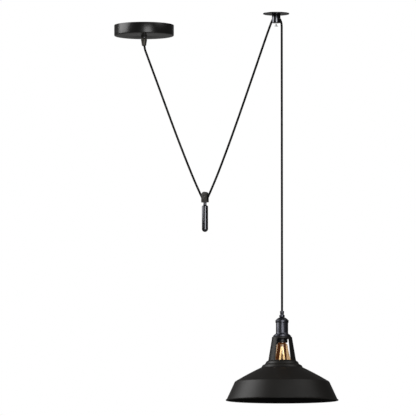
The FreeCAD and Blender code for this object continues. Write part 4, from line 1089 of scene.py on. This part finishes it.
@dataclass
class Leads:
    """The insulated cores at both ends of the cord."""

    radius: float = 0.001
    sides: int = 12
    resolution: int = 10
    # in the canopy: the cord's end, the first core's rise and the step to the next, and the terminals
    cord_end: float = -26.5
    rise: float = 4.5
    rise_step: float = 1.6
    bow: Place = (-13.0, 9.0, -16.5)
    bow_step: Place = (3.5, 3.6, 1.2)
    terminal: Place = (-34.0, 4.5, -8.5)
    terminal_pitch: float = 9.0
    turn_before: float = 20.5
    # in the lampholder: the lamp's axis, the cord's end, the terminals' level and two distances from the axis
    lamp_axis: float = 559.0
    holder_end: float = -985.7
    holder_level: float = -1010.0
    core_offset: float = 1.4
    holder_terminal: float = 9.0

    def run(self, name: str, points: Sequence[Place], finish: Finish, body: str, node: str) -> None:
        """Makes one core along its points, in millimetres.

        Args:
            name: The core's name.
            points: Its control points in millimetres.
            finish: Its insulation.
            body: The body that it rides on.
            node: The CAD node that it stands for.
        """
        metres = [(x * MM, y * MM, z * MM) for x, y, z in points]
        mesh = sleeve(Route(metres, self.resolution).read(name), self.radius, self.sides)
        Fitting(body, finish, "wire_insulation", (node,), edge=0.0).add(name, mesh, 1.0)

    def build(self) -> None:
        """Makes the three cores in the canopy and the two in the lampholder."""
        canopy = (
            ("earth", Finish.CORE_EARTH, -1, 0.3, -1.3),
            ("neutral", Finish.CORE_BLUE, 0, -0.5, 0.0),
            ("live", Finish.CORE_BROWN, 1, 0.3, 1.3),
        )
        for name, finish, pole, x, y in canopy:
            above, beside = pole + 1, (1 - pole) / 2.0
            bow = (
                self.bow[0] + self.bow_step[0] * pole,
                self.bow[1] + self.bow_step[1] * beside,
                self.bow[2] + self.bow_step[2] * above,
            )
            pole_x = self.terminal[0] + self.terminal_pitch * pole
            points = (
                (x, y, self.cord_end),
                (x, y, self.cord_end + self.rise + self.rise_step * above),
                bow,
                (pole_x, self.turn_before, self.terminal[2]),
                (pole_x, *self.terminal[1:]),
            )
            self.run(f"canopy_core_{name}", points, finish, "ceiling", "canopy_leads")
        for name, finish, side in (("live", Finish.CORE_BROWN, 1), ("neutral", Finish.CORE_BLUE, -1)):
            near = self.lamp_axis + self.core_offset * side
            points = (
                (near, 0.0, self.holder_end),
                (near, 0.0, self.holder_level),
                (self.lamp_axis + self.holder_terminal * side, 0.0, self.holder_level),
            )
            self.run(f"holder_core_{name}", points, finish, "lamp", "lamp_leads")


@dataclass
class Knuckle:
    """The joint under the canopy and the cord grip that tilts in it."""

    fork_edge: float = 0.3
    grip_edge: float = 0.25
    screw_edge: float = 0.1

    def build(self) -> None:
        """Makes the fork, its screws, the grip and its set screw."""
        fork = ("knuckle_fork", "knuckle_yoke", Finish.LACQUER, self.fork_edge)
        pivots = ("knuckle_screws", "pivot_screws", Finish.BLACK_NICKEL, self.fork_edge)
        grip = ("knuckle_grip", "canopy_grip", Finish.CAST_METAL, self.grip_edge)
        set_screw = ("knuckle_set_screw", "canopy_grip_screw", Finish.ZINC, self.screw_edge)
        refine("ceiling", (fork, pivots))
        refine("canopy_grip", (grip, set_screw))


@dataclass
class Guide:
    """The ceiling guide that turns the cord down to the lamp, and the clear screw that clamps it."""

    place: Place = (537.0, 0.0, 0.0)
    plate_radius: float = 42.0
    plate_thickness: float = 3.0
    plate_hole: float = 3.2
    plate_edge: float = 1.2
    plate_bevel: float = 0.15
    body_bevel: float = 0.3
    pad_bevel: float = 0.15
    neck_radius: float = 1.8
    thumb_radius: float = 5.4
    thumb_foot: float = -42.6
    thumb_edge: float = 1.0
    thumb_taper: float = 0.3
    bell_foot: float = -40.4
    bell_top: float = -34.6
    bell_bend: float = 8.0
    shank_radius: float = 2.3
    shank_foot: float = -31.7
    shank_top: float = -19.3
    ridge: ThreadRidge = ThreadRidge(2.5, 0.25, 0.8, -31.4, 14.5)

    def plate(self) -> bmesh.types.BMesh:
        """The round plate with its softened lower edge.

        Returns:
            The plate's mesh.
        """
        foot = -self.plate_thickness
        outline = Outline(self.plate_hole, foot).to((self.plate_radius - self.plate_edge, foot))
        outline.arc(self.plate_radius, foot + self.plate_edge, self.plate_edge, Side.LEFT)
        return outline.to((self.plate_radius, 0.0), (self.plate_hole, 0.0)).close().turned(128)

    def clamp(self) -> bmesh.types.BMesh:
        """The screw: a threaded shank, a thin neck and a bell-shaped thumb end.

        Returns:
            The screw's mesh.
        """
        thumb, neck, shank = self.thumb_radius, self.neck_radius, self.shank_radius
        foot, edge = self.thumb_foot, self.thumb_edge
        outline = Outline(0.0, foot).to((thumb - edge, foot)).arc(thumb, foot + edge, edge, Side.LEFT, 4)
        outline.to((thumb - self.thumb_taper, self.bell_foot))
        outline.arc(neck, self.bell_top, self.bell_bend, Side.RIGHT, 8)
        outline.to((neck, self.shank_foot), (shank, self.shank_foot), (shank, self.shank_top))
        return joined(outline.to((0.0, self.shank_top)).close().turned(72), self.ridge.mesh())

    def build(self) -> None:
        """Makes the guide's pieces."""
        plate, bevel = ("guide_plate",), self.plate_bevel
        disc = Fitting("ceiling", Finish.GLOSS_ENAMEL, "black_paint", plate, self.place, bevel)
        disc.add("guide_disc", self.plate())
        refine("ceiling", [("guide_barrel", "guide_body", Finish.SMOKY_NICKEL, self.body_bevel)])
        refine("clamp_pad", [("clamp_shoe", "clamp_pad", Finish.ACRYLIC, self.pad_bevel)])
        screw = Fitting("clamp_screw", Finish.ACRYLIC, "clear_plastic", ("clamp_screw",), self.place, 0.0)
        screw.add("clamp_thumbscrew", self.clamp())


@dataclass
class Counterweight:
    """The fork, the sheave and the weight that hang in the cord."""

    place: Place = (250.0, 0.0, -573.5)
    rim: float = 10.7
    groove: float = 8.7
    groove_edge: float = 3.35
    half_width: float = 3.75
    section: float = 3.8
    hub: Point = (4.6, 5.2)
    web: Point = (8.0, 8.6)
    half_web: float = 2.6
    bore: float = 2.6
    axle: float = 2.5
    axle_length: float = 10.8
    axle_edge: float = 0.4
    axle_centre: Point = (0.9, 0.3)
    weight_radius: float = 10.0
    weight_top: float = -604.0
    weight_height: float = 86.0
    shoulder: float = 3.0
    weight_hole: Point = (3.0, 8.0)
    fork_bevel: float = 0.4
    wheel_bevel: float = 0.15
    stud_bevel: float = 0.2
    bar_bevel: float = 0.35
    collar_profile: Profile = (
        (3.1, -603.99), (5.0, -603.99), (5.5, -603.4, 0.6, Side.LEFT, 3), (5.5, -602.0), (5.2, -601.7),
        (5.2, -596.3), (5.5, -596.0), (5.5, -594.6), (5.0, -594.01, 0.6, Side.LEFT, 3), (3.1, -594.01),
    )

    def laid(self, mesh: bmesh.types.BMesh) -> bmesh.types.BMesh:
        """Turns a mesh's Z axis to the axle's way.

        Args:
            mesh: The mesh.

        Returns:
            The mesh itself.
        """
        side = Matrix.Rotation(math.pi / 2, 3, "X")
        bmesh.ops.rotate(mesh, verts=mesh.verts[:], cent=(0, 0, 0), matrix=side)
        return mesh

    def sheave(self) -> bmesh.types.BMesh:
        """The grooved wheel: hub, thin web and rim on both sides.

        Returns:
            The wheel's mesh.
        """
        rim, edge, bend, face, thin = self.rim, self.groove_edge, self.section, self.half_width, self.half_web
        flank = ((self.hub[0], face), (self.hub[1], thin), (self.web[0], thin), (self.web[1], face))
        outline = Outline(self.bore, -face).to(*[(radius, -level) for radius, level in flank])
        outline.to((rim, -face), (rim, -edge)).arc(self.groove, 0.0, bend, Side.RIGHT)
        outline.arc(rim, edge, bend, Side.RIGHT).to((rim, face), *reversed(flank))
        return self.laid(outline.to((self.bore, face)).close().turned(96))

    def axle_pin(self) -> bmesh.types.BMesh:
        """The axle with its two turned ends.

        Returns:
            The axle's mesh.
        """
        end, edge, radius = self.axle_length / 2.0, self.axle_edge, self.axle
        dimple, depth = self.axle_centre
        outline = Outline(0.0, depth - end).to((dimple, -end), (radius - edge, -end), (radius, edge - end))
        outline.to((radius, end - edge), (radius - edge, end), (dimple, end), (0.0, end - depth))
        return self.laid(outline.turned(48))

    def weight(self) -> bmesh.types.BMesh:
        """The bar with a chamfered shoulder and a round lower end.

        Returns:
            The bar's mesh.
        """
        top = self.weight_top
        foot = top - self.weight_height
        radius = self.weight_radius
        outline = Outline(0.0, foot).arc(radius, foot + radius, radius, Side.LEFT, 20)
        hole, depth = self.weight_hole
        outline.to((radius, top - self.shoulder), (radius - self.shoulder, top), (hole, top))
        return outline.to((hole, top - depth), (0.0, top - depth)).turned(96)

    def collar(self) -> bmesh.types.BMesh:
        """The collar between the fork and the weight, with a bead at each end."""
        return Outline.along(self.collar_profile).close().turned(64)

    def build(self) -> None:
        """Makes the weight's pieces."""
        centre = (self.place[0], 0.0, 0.0)
        refine("weight", [("pulley_fork", "pulley_block", Finish.LACQUER, self.fork_bevel)])
        wheel = Fitting("sheave", Finish.ACETAL, "black_plastic", ("sheave",), self.place, self.wheel_bevel)
        wheel.add("pulley_wheel", self.sheave())
        axle = Fitting("weight", Finish.BLACK_NICKEL, "zinc_steel", ("sheave_axle",), self.place, 0.0)
        axle.add("pulley_axle", self.axle_pin())
        refine("weight", [("weight_stud_piece", "weight_stud", Finish.ZINC, self.stud_bevel)])
        collar = Fitting("weight", Finish.SMOKY_NICKEL, "black_paint", ("weight_collar",), centre, 0.0)
        collar.add("weight_sleeve", self.collar())
        node, bevel = ("counterweight",), self.bar_bevel
        Fitting("weight", Finish.SMOKY_NICKEL, "black_paint", node, centre, bevel).add(
            "weight_bar", self.weight()
        )


# ------------------------------------------------------------------ lamp


@dataclass
class Lampholder:
    """The turned holder on top of the shade.

    Its profiles give radius and level in millimetres, from the inner lower corner outwards.
    """

    place: Place = (559.0, 0.0, 0.0)
    # an upper band, a waist and a foot with chamfers
    grip: Profile = (
        (5.0, -979.5), (6.8, -979.5), (8.8, -977.5), (8.8, -972.5), (7.3, -971.0), (6.0, -971.0),
        (6.0, -966.5), (6.6, -966.5), (6.6, -959.5), (5.6, -958.5, 1.0, Side.LEFT, 4),
        (3.6, -958.5), (3.6, -972.0), (5.0, -972.0),
    )
    # a dome over a rolled band
    cap: Profile = (
        (5.1, -979.5), (5.1, -980.7), (9.4, -980.7), (18.5, -988.6, 24.8, Side.RIGHT, 8), (18.5, -996.5),
        (19.7, -996.5), (21.2, -995.0, 1.5, Side.LEFT, 5), (21.2, -989.0),
        (19.7, -987.5, 1.5, Side.LEFT, 5), (19.55, -987.5), (9.4, -979.5, 26.0, Side.LEFT, 10),
    )
    # a straight shell that flares out over the shade ring
    shell: Profile = (
        (19.6, -989.7), (18.4, -989.7), (18.4, -1035.0), (24.8, -1035.0), (24.8, -1034.0),
        (19.6, -1028.5, 6.5, Side.RIGHT, 8),
    )
    # the stepped ring above the shade
    ring: Profile = (
        (17.8, -1041.5), (27.9, -1041.5), (28.7, -1040.7, 0.8, Side.LEFT, 4), (28.7, -1037.8),
        (27.9, -1037.0, 0.8, Side.LEFT, 4), (26.0, -1037.0), (26.0, -1035.8),
        (25.2, -1035.0, 0.8, Side.LEFT, 4), (17.8, -1035.0),
    )
    # the ring nut under the shade's top plate
    nut: Profile = ((17.8, -1047.0), (22.0, -1047.0), (23.0, -1046.0), (23.0, -1042.6), (17.8, -1042.6))
    # the insert that the bulb screws into, and the ridge that stands on it
    insert: Profile = (
        (13.8, -1059.0), (14.8, -1060.0), (15.2, -1060.0), (17.7, -1057.5, 2.5, Side.LEFT, 6),
        (17.7, -1052.0), (17.3, -1051.6), (17.3, -1032.5), (13.8, -1032.5),
    )
    ridge: ThreadRidge = ThreadRidge(17.7, 0.4, 2.0, -1050.5, 8.0)
    carried_edge: float = 0.1
    carried: dict[str, Finish] = field(
        default_factory=lambda: {
            "lamp_grip_screw": Finish.ZINC,
            "lamp_nipple": Finish.ZINC,
            "holder_core": Finish.PHENOLIC,
            "holder_terminals": Finish.BRASS,
            "holder_terminal_screws": Finish.ZINC,
            "centre_contact": Finish.BRASS,
            "side_contact": Finish.BRASS,
        }
    )

    def socket(self) -> bmesh.types.BMesh:
        """The insert with its thread."""
        return joined(Outline.along(self.insert).close().turned(96), self.ridge.mesh())

    def build(self) -> None:
        """Makes the holder's pieces."""
        turned = (
            ("holder_grip", "lamp_grip", self.grip, 72, Finish.SATIN_NICKEL, 0.2),
            ("holder_dome", "holder_cap", self.cap, 112, Finish.SATIN_NICKEL, 0.15),
            ("holder_sleeve", "holder_shell", self.shell, 112, Finish.SATIN_NICKEL, 0.15),
            ("holder_ring", "shade_ring", self.ring, 128, Finish.SATIN_NICKEL, 0.1),
            ("holder_nut", "shade_nut", self.nut, 96, Finish.PHENOLIC, 0.15),
        )
        for name, node, profile, steps, finish, edge in turned:
            fitting = Fitting("lamp", finish, "black_paint", (node,), self.place, edge)
            fitting.add(name, Outline.along(profile).close().turned(steps))
        socket = Fitting("lamp", Finish.PHENOLIC, "black_plastic", ("holder_insert",), self.place, 0.0)
        socket.add("holder_socket", self.socket())
        edge = self.carried_edge
        refine("lamp", [(f"{node}_piece", node, finish, edge) for node, finish in self.carried.items()])


@dataclass
class Shade:
    """The spun steel shade: a neck with three windows, two steps, a bowed cone and a skirt."""

    place: Place = (559.0, 0.0, 0.0)
    wall: float = 1.1
    steps: int = 150
    # the windows' ends, which are the profile's fourth and fifth corners too
    window_top: float = -1047.5
    window_foot: float = -1116.4
    window_half_steps: int = 14
    window_bearing: float = 41.0
    bead: float = 2.0
    rim: float = 178.0
    rim_level: float = -1243.1
    fold: float = 1.4
    # the top plate, the neck between the windows' ends, two steps, the bowed cone and the skirt
    profile: Profile = (
        (18.0, -1041.5), (30.5, -1041.5), (32.3, -1043.3, 1.8, Side.RIGHT, 4), (32.8, -1047.5),
        (44.4, -1116.4), (44.5, -1117.0), (50.5, -1121.0), (54.7, -1128.5), (62.2, -1132.1),
        (66.4, -1139.1), (147.3, -1182.5, 900.0, Side.RIGHT, 14), (152.1, -1187.3, 9.0, Side.RIGHT, 5),
        (164.5, -1214.2), (177.0, -1241.1),
    )

    def sheet(self) -> bmesh.types.BMesh:
        """The outer face of the shade, with its windows cut out.

        Returns:
            The sheet's mesh, still without thickness.
        """
        outline = Outline.along(self.profile)
        turn = Matrix.Rotation(math.radians(self.window_bearing - 90.0), 3, "Z")
        bmesh.ops.rotate(outline.mesh, verts=outline.mesh.verts[:], cent=(0, 0, 0), matrix=turn)
        mesh = outline.turned(self.steps)
        # an open sheet comes out of the spin with its faces pointing in
        bmesh.ops.reverse_faces(mesh, faces=mesh.faces[:])
        self.cut_windows(mesh)
        return mesh

    def cut_windows(self, mesh: bmesh.types.BMesh) -> None:
        """Deletes the neck's faces inside the three windows.

        Args:
            mesh: The turned sheet.
        """
        step = FULL_TURN / self.steps
        panes = []
        for face in mesh.faces:
            middle = face.calc_center_median()
            if not self.window_foot < middle.z < self.window_top:
                continue
            bearing = math.atan2(middle.y, middle.x) - math.radians(self.window_bearing - 90.0)
            offset = (bearing + FULL_TURN / 6.0) % (FULL_TURN / 3.0) - FULL_TURN / 6.0
            if abs(offset) < self.window_half_steps * step:
                panes.append(face)
        bmesh.ops.delete(mesh, geom=panes, context="FACES")

    def bead_ring(self) -> bmesh.types.BMesh:
        """The rolled bead at the rim.

        Returns:
            The bead's mesh.
        """
        mesh = bmesh.new()
        place = Matrix.Translation((self.rim, 0.0, self.rim_level)) @ Matrix.Rotation(math.pi / 2, 4, "X")
        bmesh.ops.create_circle(mesh, cap_ends=False, segments=20, radius=self.bead, matrix=place)
        spun(mesh, mesh.verts[:] + mesh.edges[:], FULL_TURN, self.steps)
        bmesh.ops.recalc_face_normals(mesh, faces=mesh.faces[:])
        return mesh

    def build(self) -> None:
        """Makes the shade's sheet and its bead."""
        nodes = ("shade_neck", "shade_dish")
        fitting = Fitting("lamp", Finish.SHADE_ENAMEL, "black_paint", nodes, self.place, 0.0, 30.0)
        sheet = fitting.add("shade_sheet", self.sheet())
        thickness = sheet.modifiers.new("sheet_steel", "SOLIDIFY")
        thickness.thickness = self.wall * MM
        thickness.offset = -1.0
        thickness.use_even_offset = True
        # the inside gets the darker matt enamel: a painted shade for the hollow
        sheet.data.materials.append(Finish.MATT_ENAMEL.material())
        thickness.material_offset = 1
        folds = sheet.modifiers.new("pressed_folds", "BEVEL")
        folds.width = self.fold * MM
        folds.segments = 3
        folds.limit_method = "ANGLE"
        folds.angle_limit = math.radians(25.0)
        facing = sheet.modifiers.new("face_normals", "WEIGHTED_NORMAL")
        facing.keep_sharp = True
        roll = Fitting("lamp", Finish.SHADE_ENAMEL, "black_paint", ("shade_rim",), self.place, 0.0, 60.0)
        roll.add("shade_bead", self.bead_ring())


@dataclass
class Bulb:
    """The filament bulb: threaded cap, amber glass, glass stem and glowing filaments."""

    place: Place = (559.0, 0.0, 0.0)
    filaments: int = 4
    first_bearing: float = 67.0
    filament_radius: float = 0.9
    # radius and level of a filament's two ends
    upper_end: Point = (3.2, -1072.6)
    lower_end: Point = (13.0, -1134.6)
    # the blown envelope, down its outside and up its inside
    envelope: Profile = (
        (11.25, -1056.5), (11.25, -1060.7), (17.8, -1066.5), (28.6, -1116.0, 280.0, Side.LEFT, 14),
        (32.0, -1143.5, 112.9, Side.RIGHT, 12), (0.0, -1175.5, 32.0, Side.RIGHT, 20), (0.0, -1174.6),
        (31.1, -1143.5, 31.1, Side.LEFT, 20), (27.7, -1116.0, 112.0, Side.LEFT, 12),
        (16.9, -1066.5, 280.9, Side.RIGHT, 14), (10.35, -1060.9), (10.35, -1056.5),
    )
    # the cap's thin barrel with its plain skirt, and the rolled thread on it
    barrel: Profile = (
        (11.3, -1037.5), (11.3, -1060.5), (12.7, -1060.5), (12.7, -1057.5), (12.1, -1057.0),
        (12.1, -1038.4), (11.8, -1037.5),
    )
    ridge: ThreadRidge = ThreadRidge(13.1, 1.0, 3.6, -1057.0, 4.6)
    # the stem: a pressed round end, a tube and a flared skirt
    stem: Profile = (
        (0.0, -1071.6), (2.2, -1071.6), (4.5, -1068.6, 3.2, Side.LEFT, 6), (4.5, -1062.5),
        (10.2, -1058.5, 7.0, Side.RIGHT, 6), (10.2, -1057.0), (0.0, -1057.0),
    )
    carried: dict[str, Finish] = field(
        default_factory=lambda: {
            "bulb_contact": Finish.NICKEL,
            "bulb_insulator": Finish.PHENOLIC,
            "bulb_supports": Finish.NICKEL,
        }
    )

    def cap(self) -> bmesh.types.BMesh:
        """The barrel with its thread."""
        return joined(Outline.along(self.barrel).close().turned(80), self.ridge.mesh())

    def filament(self, number: int) -> bmesh.types.BMesh:
        """One filament stick with its softened ends.

        Args:
            number: The stick's number, from 0.

        Returns:
            The stick's mesh.
        """
        bearing = math.radians(self.first_bearing + 360.0 * number / self.filaments)
        outward = Vector((math.sin(bearing), -math.cos(bearing), 0.0))
        both = (self.upper_end, self.lower_end)
        upper, lower = (outward * radius + Vector((0.0, 0.0, level)) for radius, level in both)
        return rod(upper, lower, self.filament_radius)

    def build(self) -> None:
        """Makes the bulb's pieces."""
        sticks = joined(*[self.filament(number) for number in range(self.filaments)])
        glass = Outline.along(self.envelope).close().turned(96)
        stem = Outline.along(self.stem).turned(56)
        pieces = (
            ("bulb_envelope", "bulb_glass", glass, Finish.AMBER_GLASS, "bulb_glass"),
            ("bulb_barrel", "bulb_cap", self.cap(), Finish.NICKEL, "bulb_metal"),
            ("bulb_stem_glass", "bulb_stem", stem, Finish.STEM_GLASS, "bulb_glass"),
            ("bulb_filament_sticks", "bulb_filaments", sticks, Finish.FILAMENT, "filament"),
        )
        for name, node, mesh, finish, slot in pieces:
            Fitting("lamp", finish, slot, (node,), self.place, 0.0, 35.0).add(name, mesh)
        refine("lamp", [(f"{node}_piece", node, finish, 0.0) for node, finish in self.carried.items()])


# ------------------------------------------------------------------ studio


@dataclass
class Softbox:
    """A large lamp with a cloth front, aimed at the pendant."""

    name: str
    bearing: float
    elevation: float
    distance: float
    width: float
    height: float
    radiance: float

    def build(self, studio: "Studio") -> None:
        """Hangs the lamp in the studio.

        Args:
            studio: The studio that gives the bearings.
        """
        light = bpy.data.lights.new(self.name, "AREA")
        light.shape = "RECTANGLE"
        light.size = self.width
        light.size_y = self.height
        light.energy = math.pi * self.width * self.height * self.radiance
        lamp = bpy.data.objects.new(self.name, light)
        way = studio.way(self.bearing, self.elevation)
        lamp.location = studio.middle + way * self.distance
        lamp.rotation_euler = way.to_track_quat("Z", "Y").to_euler()
        lamp.visible_camera = False
        bpy.context.scene.collection.objects.link(lamp)


@dataclass
class Studio:
    """The camera, the lamps, the floor and the surroundings."""

    azimuth: float = 37.1958
    tilt: float = 4.9555
    distance: float = 17.78756
    focal_pixels: float = 5697.671
    frame_pixels: float = 416.0
    target: Vector = field(default_factory=lambda: Vector((0.632882, -0.488346, -0.666078)))
    middle: Vector = field(default_factory=lambda: Vector((0.3, 0.0, -0.62)))
    sensor_mm: float = 36.0
    clip_end: float = 200.0
    floor_level: float = -6.0
    floor_radius: float = 40.0
    floor_colour: str = "#b3b2b0"
    floor_mottle: str = "#bab9b7"
    mottle_metres: float = 1.25
    floor_roughness: float = 0.85
    # strengths: what the eye sees, the plain light on the object, and the dim backdrop that metal and
    # enamel mirror, straight behind the object and from the rim of its cone outwards
    seen_strength: float = 1.0
    ambient_strength: float = 0.28
    mirrored_behind: float = 0.2
    mirrored_beside: float = 0.05
    cone_cosine: float = 0.75
    softboxes: tuple[Softbox, ...] = (
        Softbox("key_softbox", -91.0, 30.0, 4.0, 3.0, 3.3, 4.5),
        Softbox("strip_softbox", 12.0, 6.0, 4.0, 1.9, 2.6, 5.0),
        Softbox("fill_softbox", 70.0, 46.0, 4.0, 2.4, 2.0, 2.0),
    )

    def way(self, bearing: float, elevation: float) -> Vector:
        """The unit way from the object at a bearing to the camera's right and an elevation.

        Args:
            bearing: Degrees from the camera's own bearing to its right.
            elevation: Degrees above level.

        Returns:
            The way as a vector of length 1.
        """
        turn = math.radians(self.azimuth)
        right = Vector((math.cos(turn), math.sin(turn), 0.0))
        towards = Vector((math.sin(turn), -math.cos(turn), 0.0))
        level = towards * math.cos(math.radians(bearing)) + right * math.sin(math.radians(bearing))
        rise = math.radians(elevation)
        return level * math.cos(rise) + Vector((0.0, 0.0, math.sin(rise)))

    def camera(self) -> None:
        """Sets the camera at the photograph's viewing angle."""
        back = self.way(0.0, -self.tilt)
        data = bpy.data.cameras.new("camera")
        data.sensor_width = self.sensor_mm
        data.lens = self.focal_pixels * self.sensor_mm / self.frame_pixels
        data.clip_end = self.clip_end
        camera = bpy.data.objects.new("camera", data)
        camera.location = self.target + back * self.distance
        camera.rotation_euler = back.to_track_quat("Z", "Y").to_euler()
        bpy.context.scene.collection.objects.link(camera)
        bpy.context.scene.camera = camera

    def floor(self) -> None:
        """Lays a wide pale floor, which isn't part of the object."""
        mesh = bmesh.new()
        place = Matrix.Translation((0.0, 0.0, self.floor_level))
        bmesh.ops.create_circle(mesh, cap_ends=True, segments=96, radius=self.floor_radius, matrix=place)
        data = bpy.data.meshes.new("floor")
        mesh.to_mesh(data)
        mesh.free()
        # painted board: a pale warm grey with a faint wide mottle
        material, where = new_material("pale_studio_floor")
        tree = material.node_tree
        wide = {"Vector": where, "Scale": 1.0 / self.mottle_metres, "Detail": 3.0}
        mottle = add_node(tree, NOISE, sockets=wide).outputs["Fac"]
        blend = {0: mottle, 6: linear(self.floor_colour), 7: linear(self.floor_mottle)}
        tone = add_node(tree, MIX, COLOURS, blend).outputs[2]
        sockets = {"Base Color": tone, "Roughness": self.floor_roughness}
        set_surface(material, add_node(tree, PRINCIPLED, sockets=sockets).outputs[0])
        data.materials.append(material)
        floor = bpy.data.objects.new("floor", data)
        bpy.context.scene.collection.objects.link(floor)

    def surroundings(self) -> None:
        """Sets a white backdrop for the eye and through glass, a dim mirrored one, and a plain light.

        The mirrored backdrop isn't white: it is brightest straight behind the object, as the photograph's
        camera sees it, and falls off to the sides.
        """
        world = bpy.data.worlds.new("studio")
        bpy.context.scene.world = world
        world.use_nodes = True
        tree = world.node_tree
        tree.nodes.clear()
        where = add_node(tree, "ShaderNodeTexCoord").outputs["Generated"]
        behind = {0: where, 1: -self.way(0.0, 0.0)}
        facing = add_node(tree, "ShaderNodeVectorMath", {"operation": "DOT_PRODUCT"}, behind).outputs["Value"]
        limits = {"From Min": self.cone_cosine, "From Max": 1.0}
        limits |= {"To Min": self.mirrored_beside, "To Max": self.mirrored_behind}
        backdrop = add_node(tree, MAP_RANGE, sockets={"Value": facing, **limits}).outputs[0]
        mirrored, white, ambient = (
            add_node(
                tree, "ShaderNodeBackground", sockets={"Color": linear("#ffffff"), "Strength": strength}
            ).outputs[0]
            for strength in (backdrop, self.seen_strength, self.ambient_strength)
        )
        rays = add_node(tree, "ShaderNodeLightPath").outputs
        direct = {0: rays["Is Camera Ray"], 1: rays["Is Transmission Ray"]}
        seen = add_node(tree, MATHS, {"operation": "MAXIMUM"}, direct).outputs[0]
        glossy = {0: rays["Is Glossy Ray"], 1: ambient, 2: mirrored}
        unseen = add_node(tree, "ShaderNodeMixShader", sockets=glossy).outputs[0]
        final = add_node(tree, "ShaderNodeMixShader", sockets={0: seen, 1: unseen, 2: white}).outputs[0]
        add_node(tree, "ShaderNodeOutputWorld", sockets={"Surface": final})

    def build(self) -> None:
        """Sets up the studio."""
        bpy.context.scene.view_settings.view_transform = "Standard"
        for softbox in self.softboxes:
            softbox.build(self)
        self.floor()
        self.surroundings()


def main() -> None:
    """Builds the scene, piece by piece."""
    logging.basicConfig(level=logging.INFO, format="%(name)s: %(message)s")
    studio = Studio()
    studio.camera()
    steps: tuple[tuple[str, Callable[[], None]], ...] = (
        ("cord", Cord().build),
        ("studio", studio.build),
        ("canopy", Canopy().build),
        ("leads", Leads().build),
        ("knuckle", Knuckle().build),
        ("guide", Guide().build),
        ("counterweight", Counterweight().build),
        ("lampholder", Lampholder().build),
        ("shade", Shade().build),
        ("bulb", Bulb().build),
    )
    for name, build in steps:
        build()
        log.info("%s is built", name)


if __name__ == "__main__":
    main()
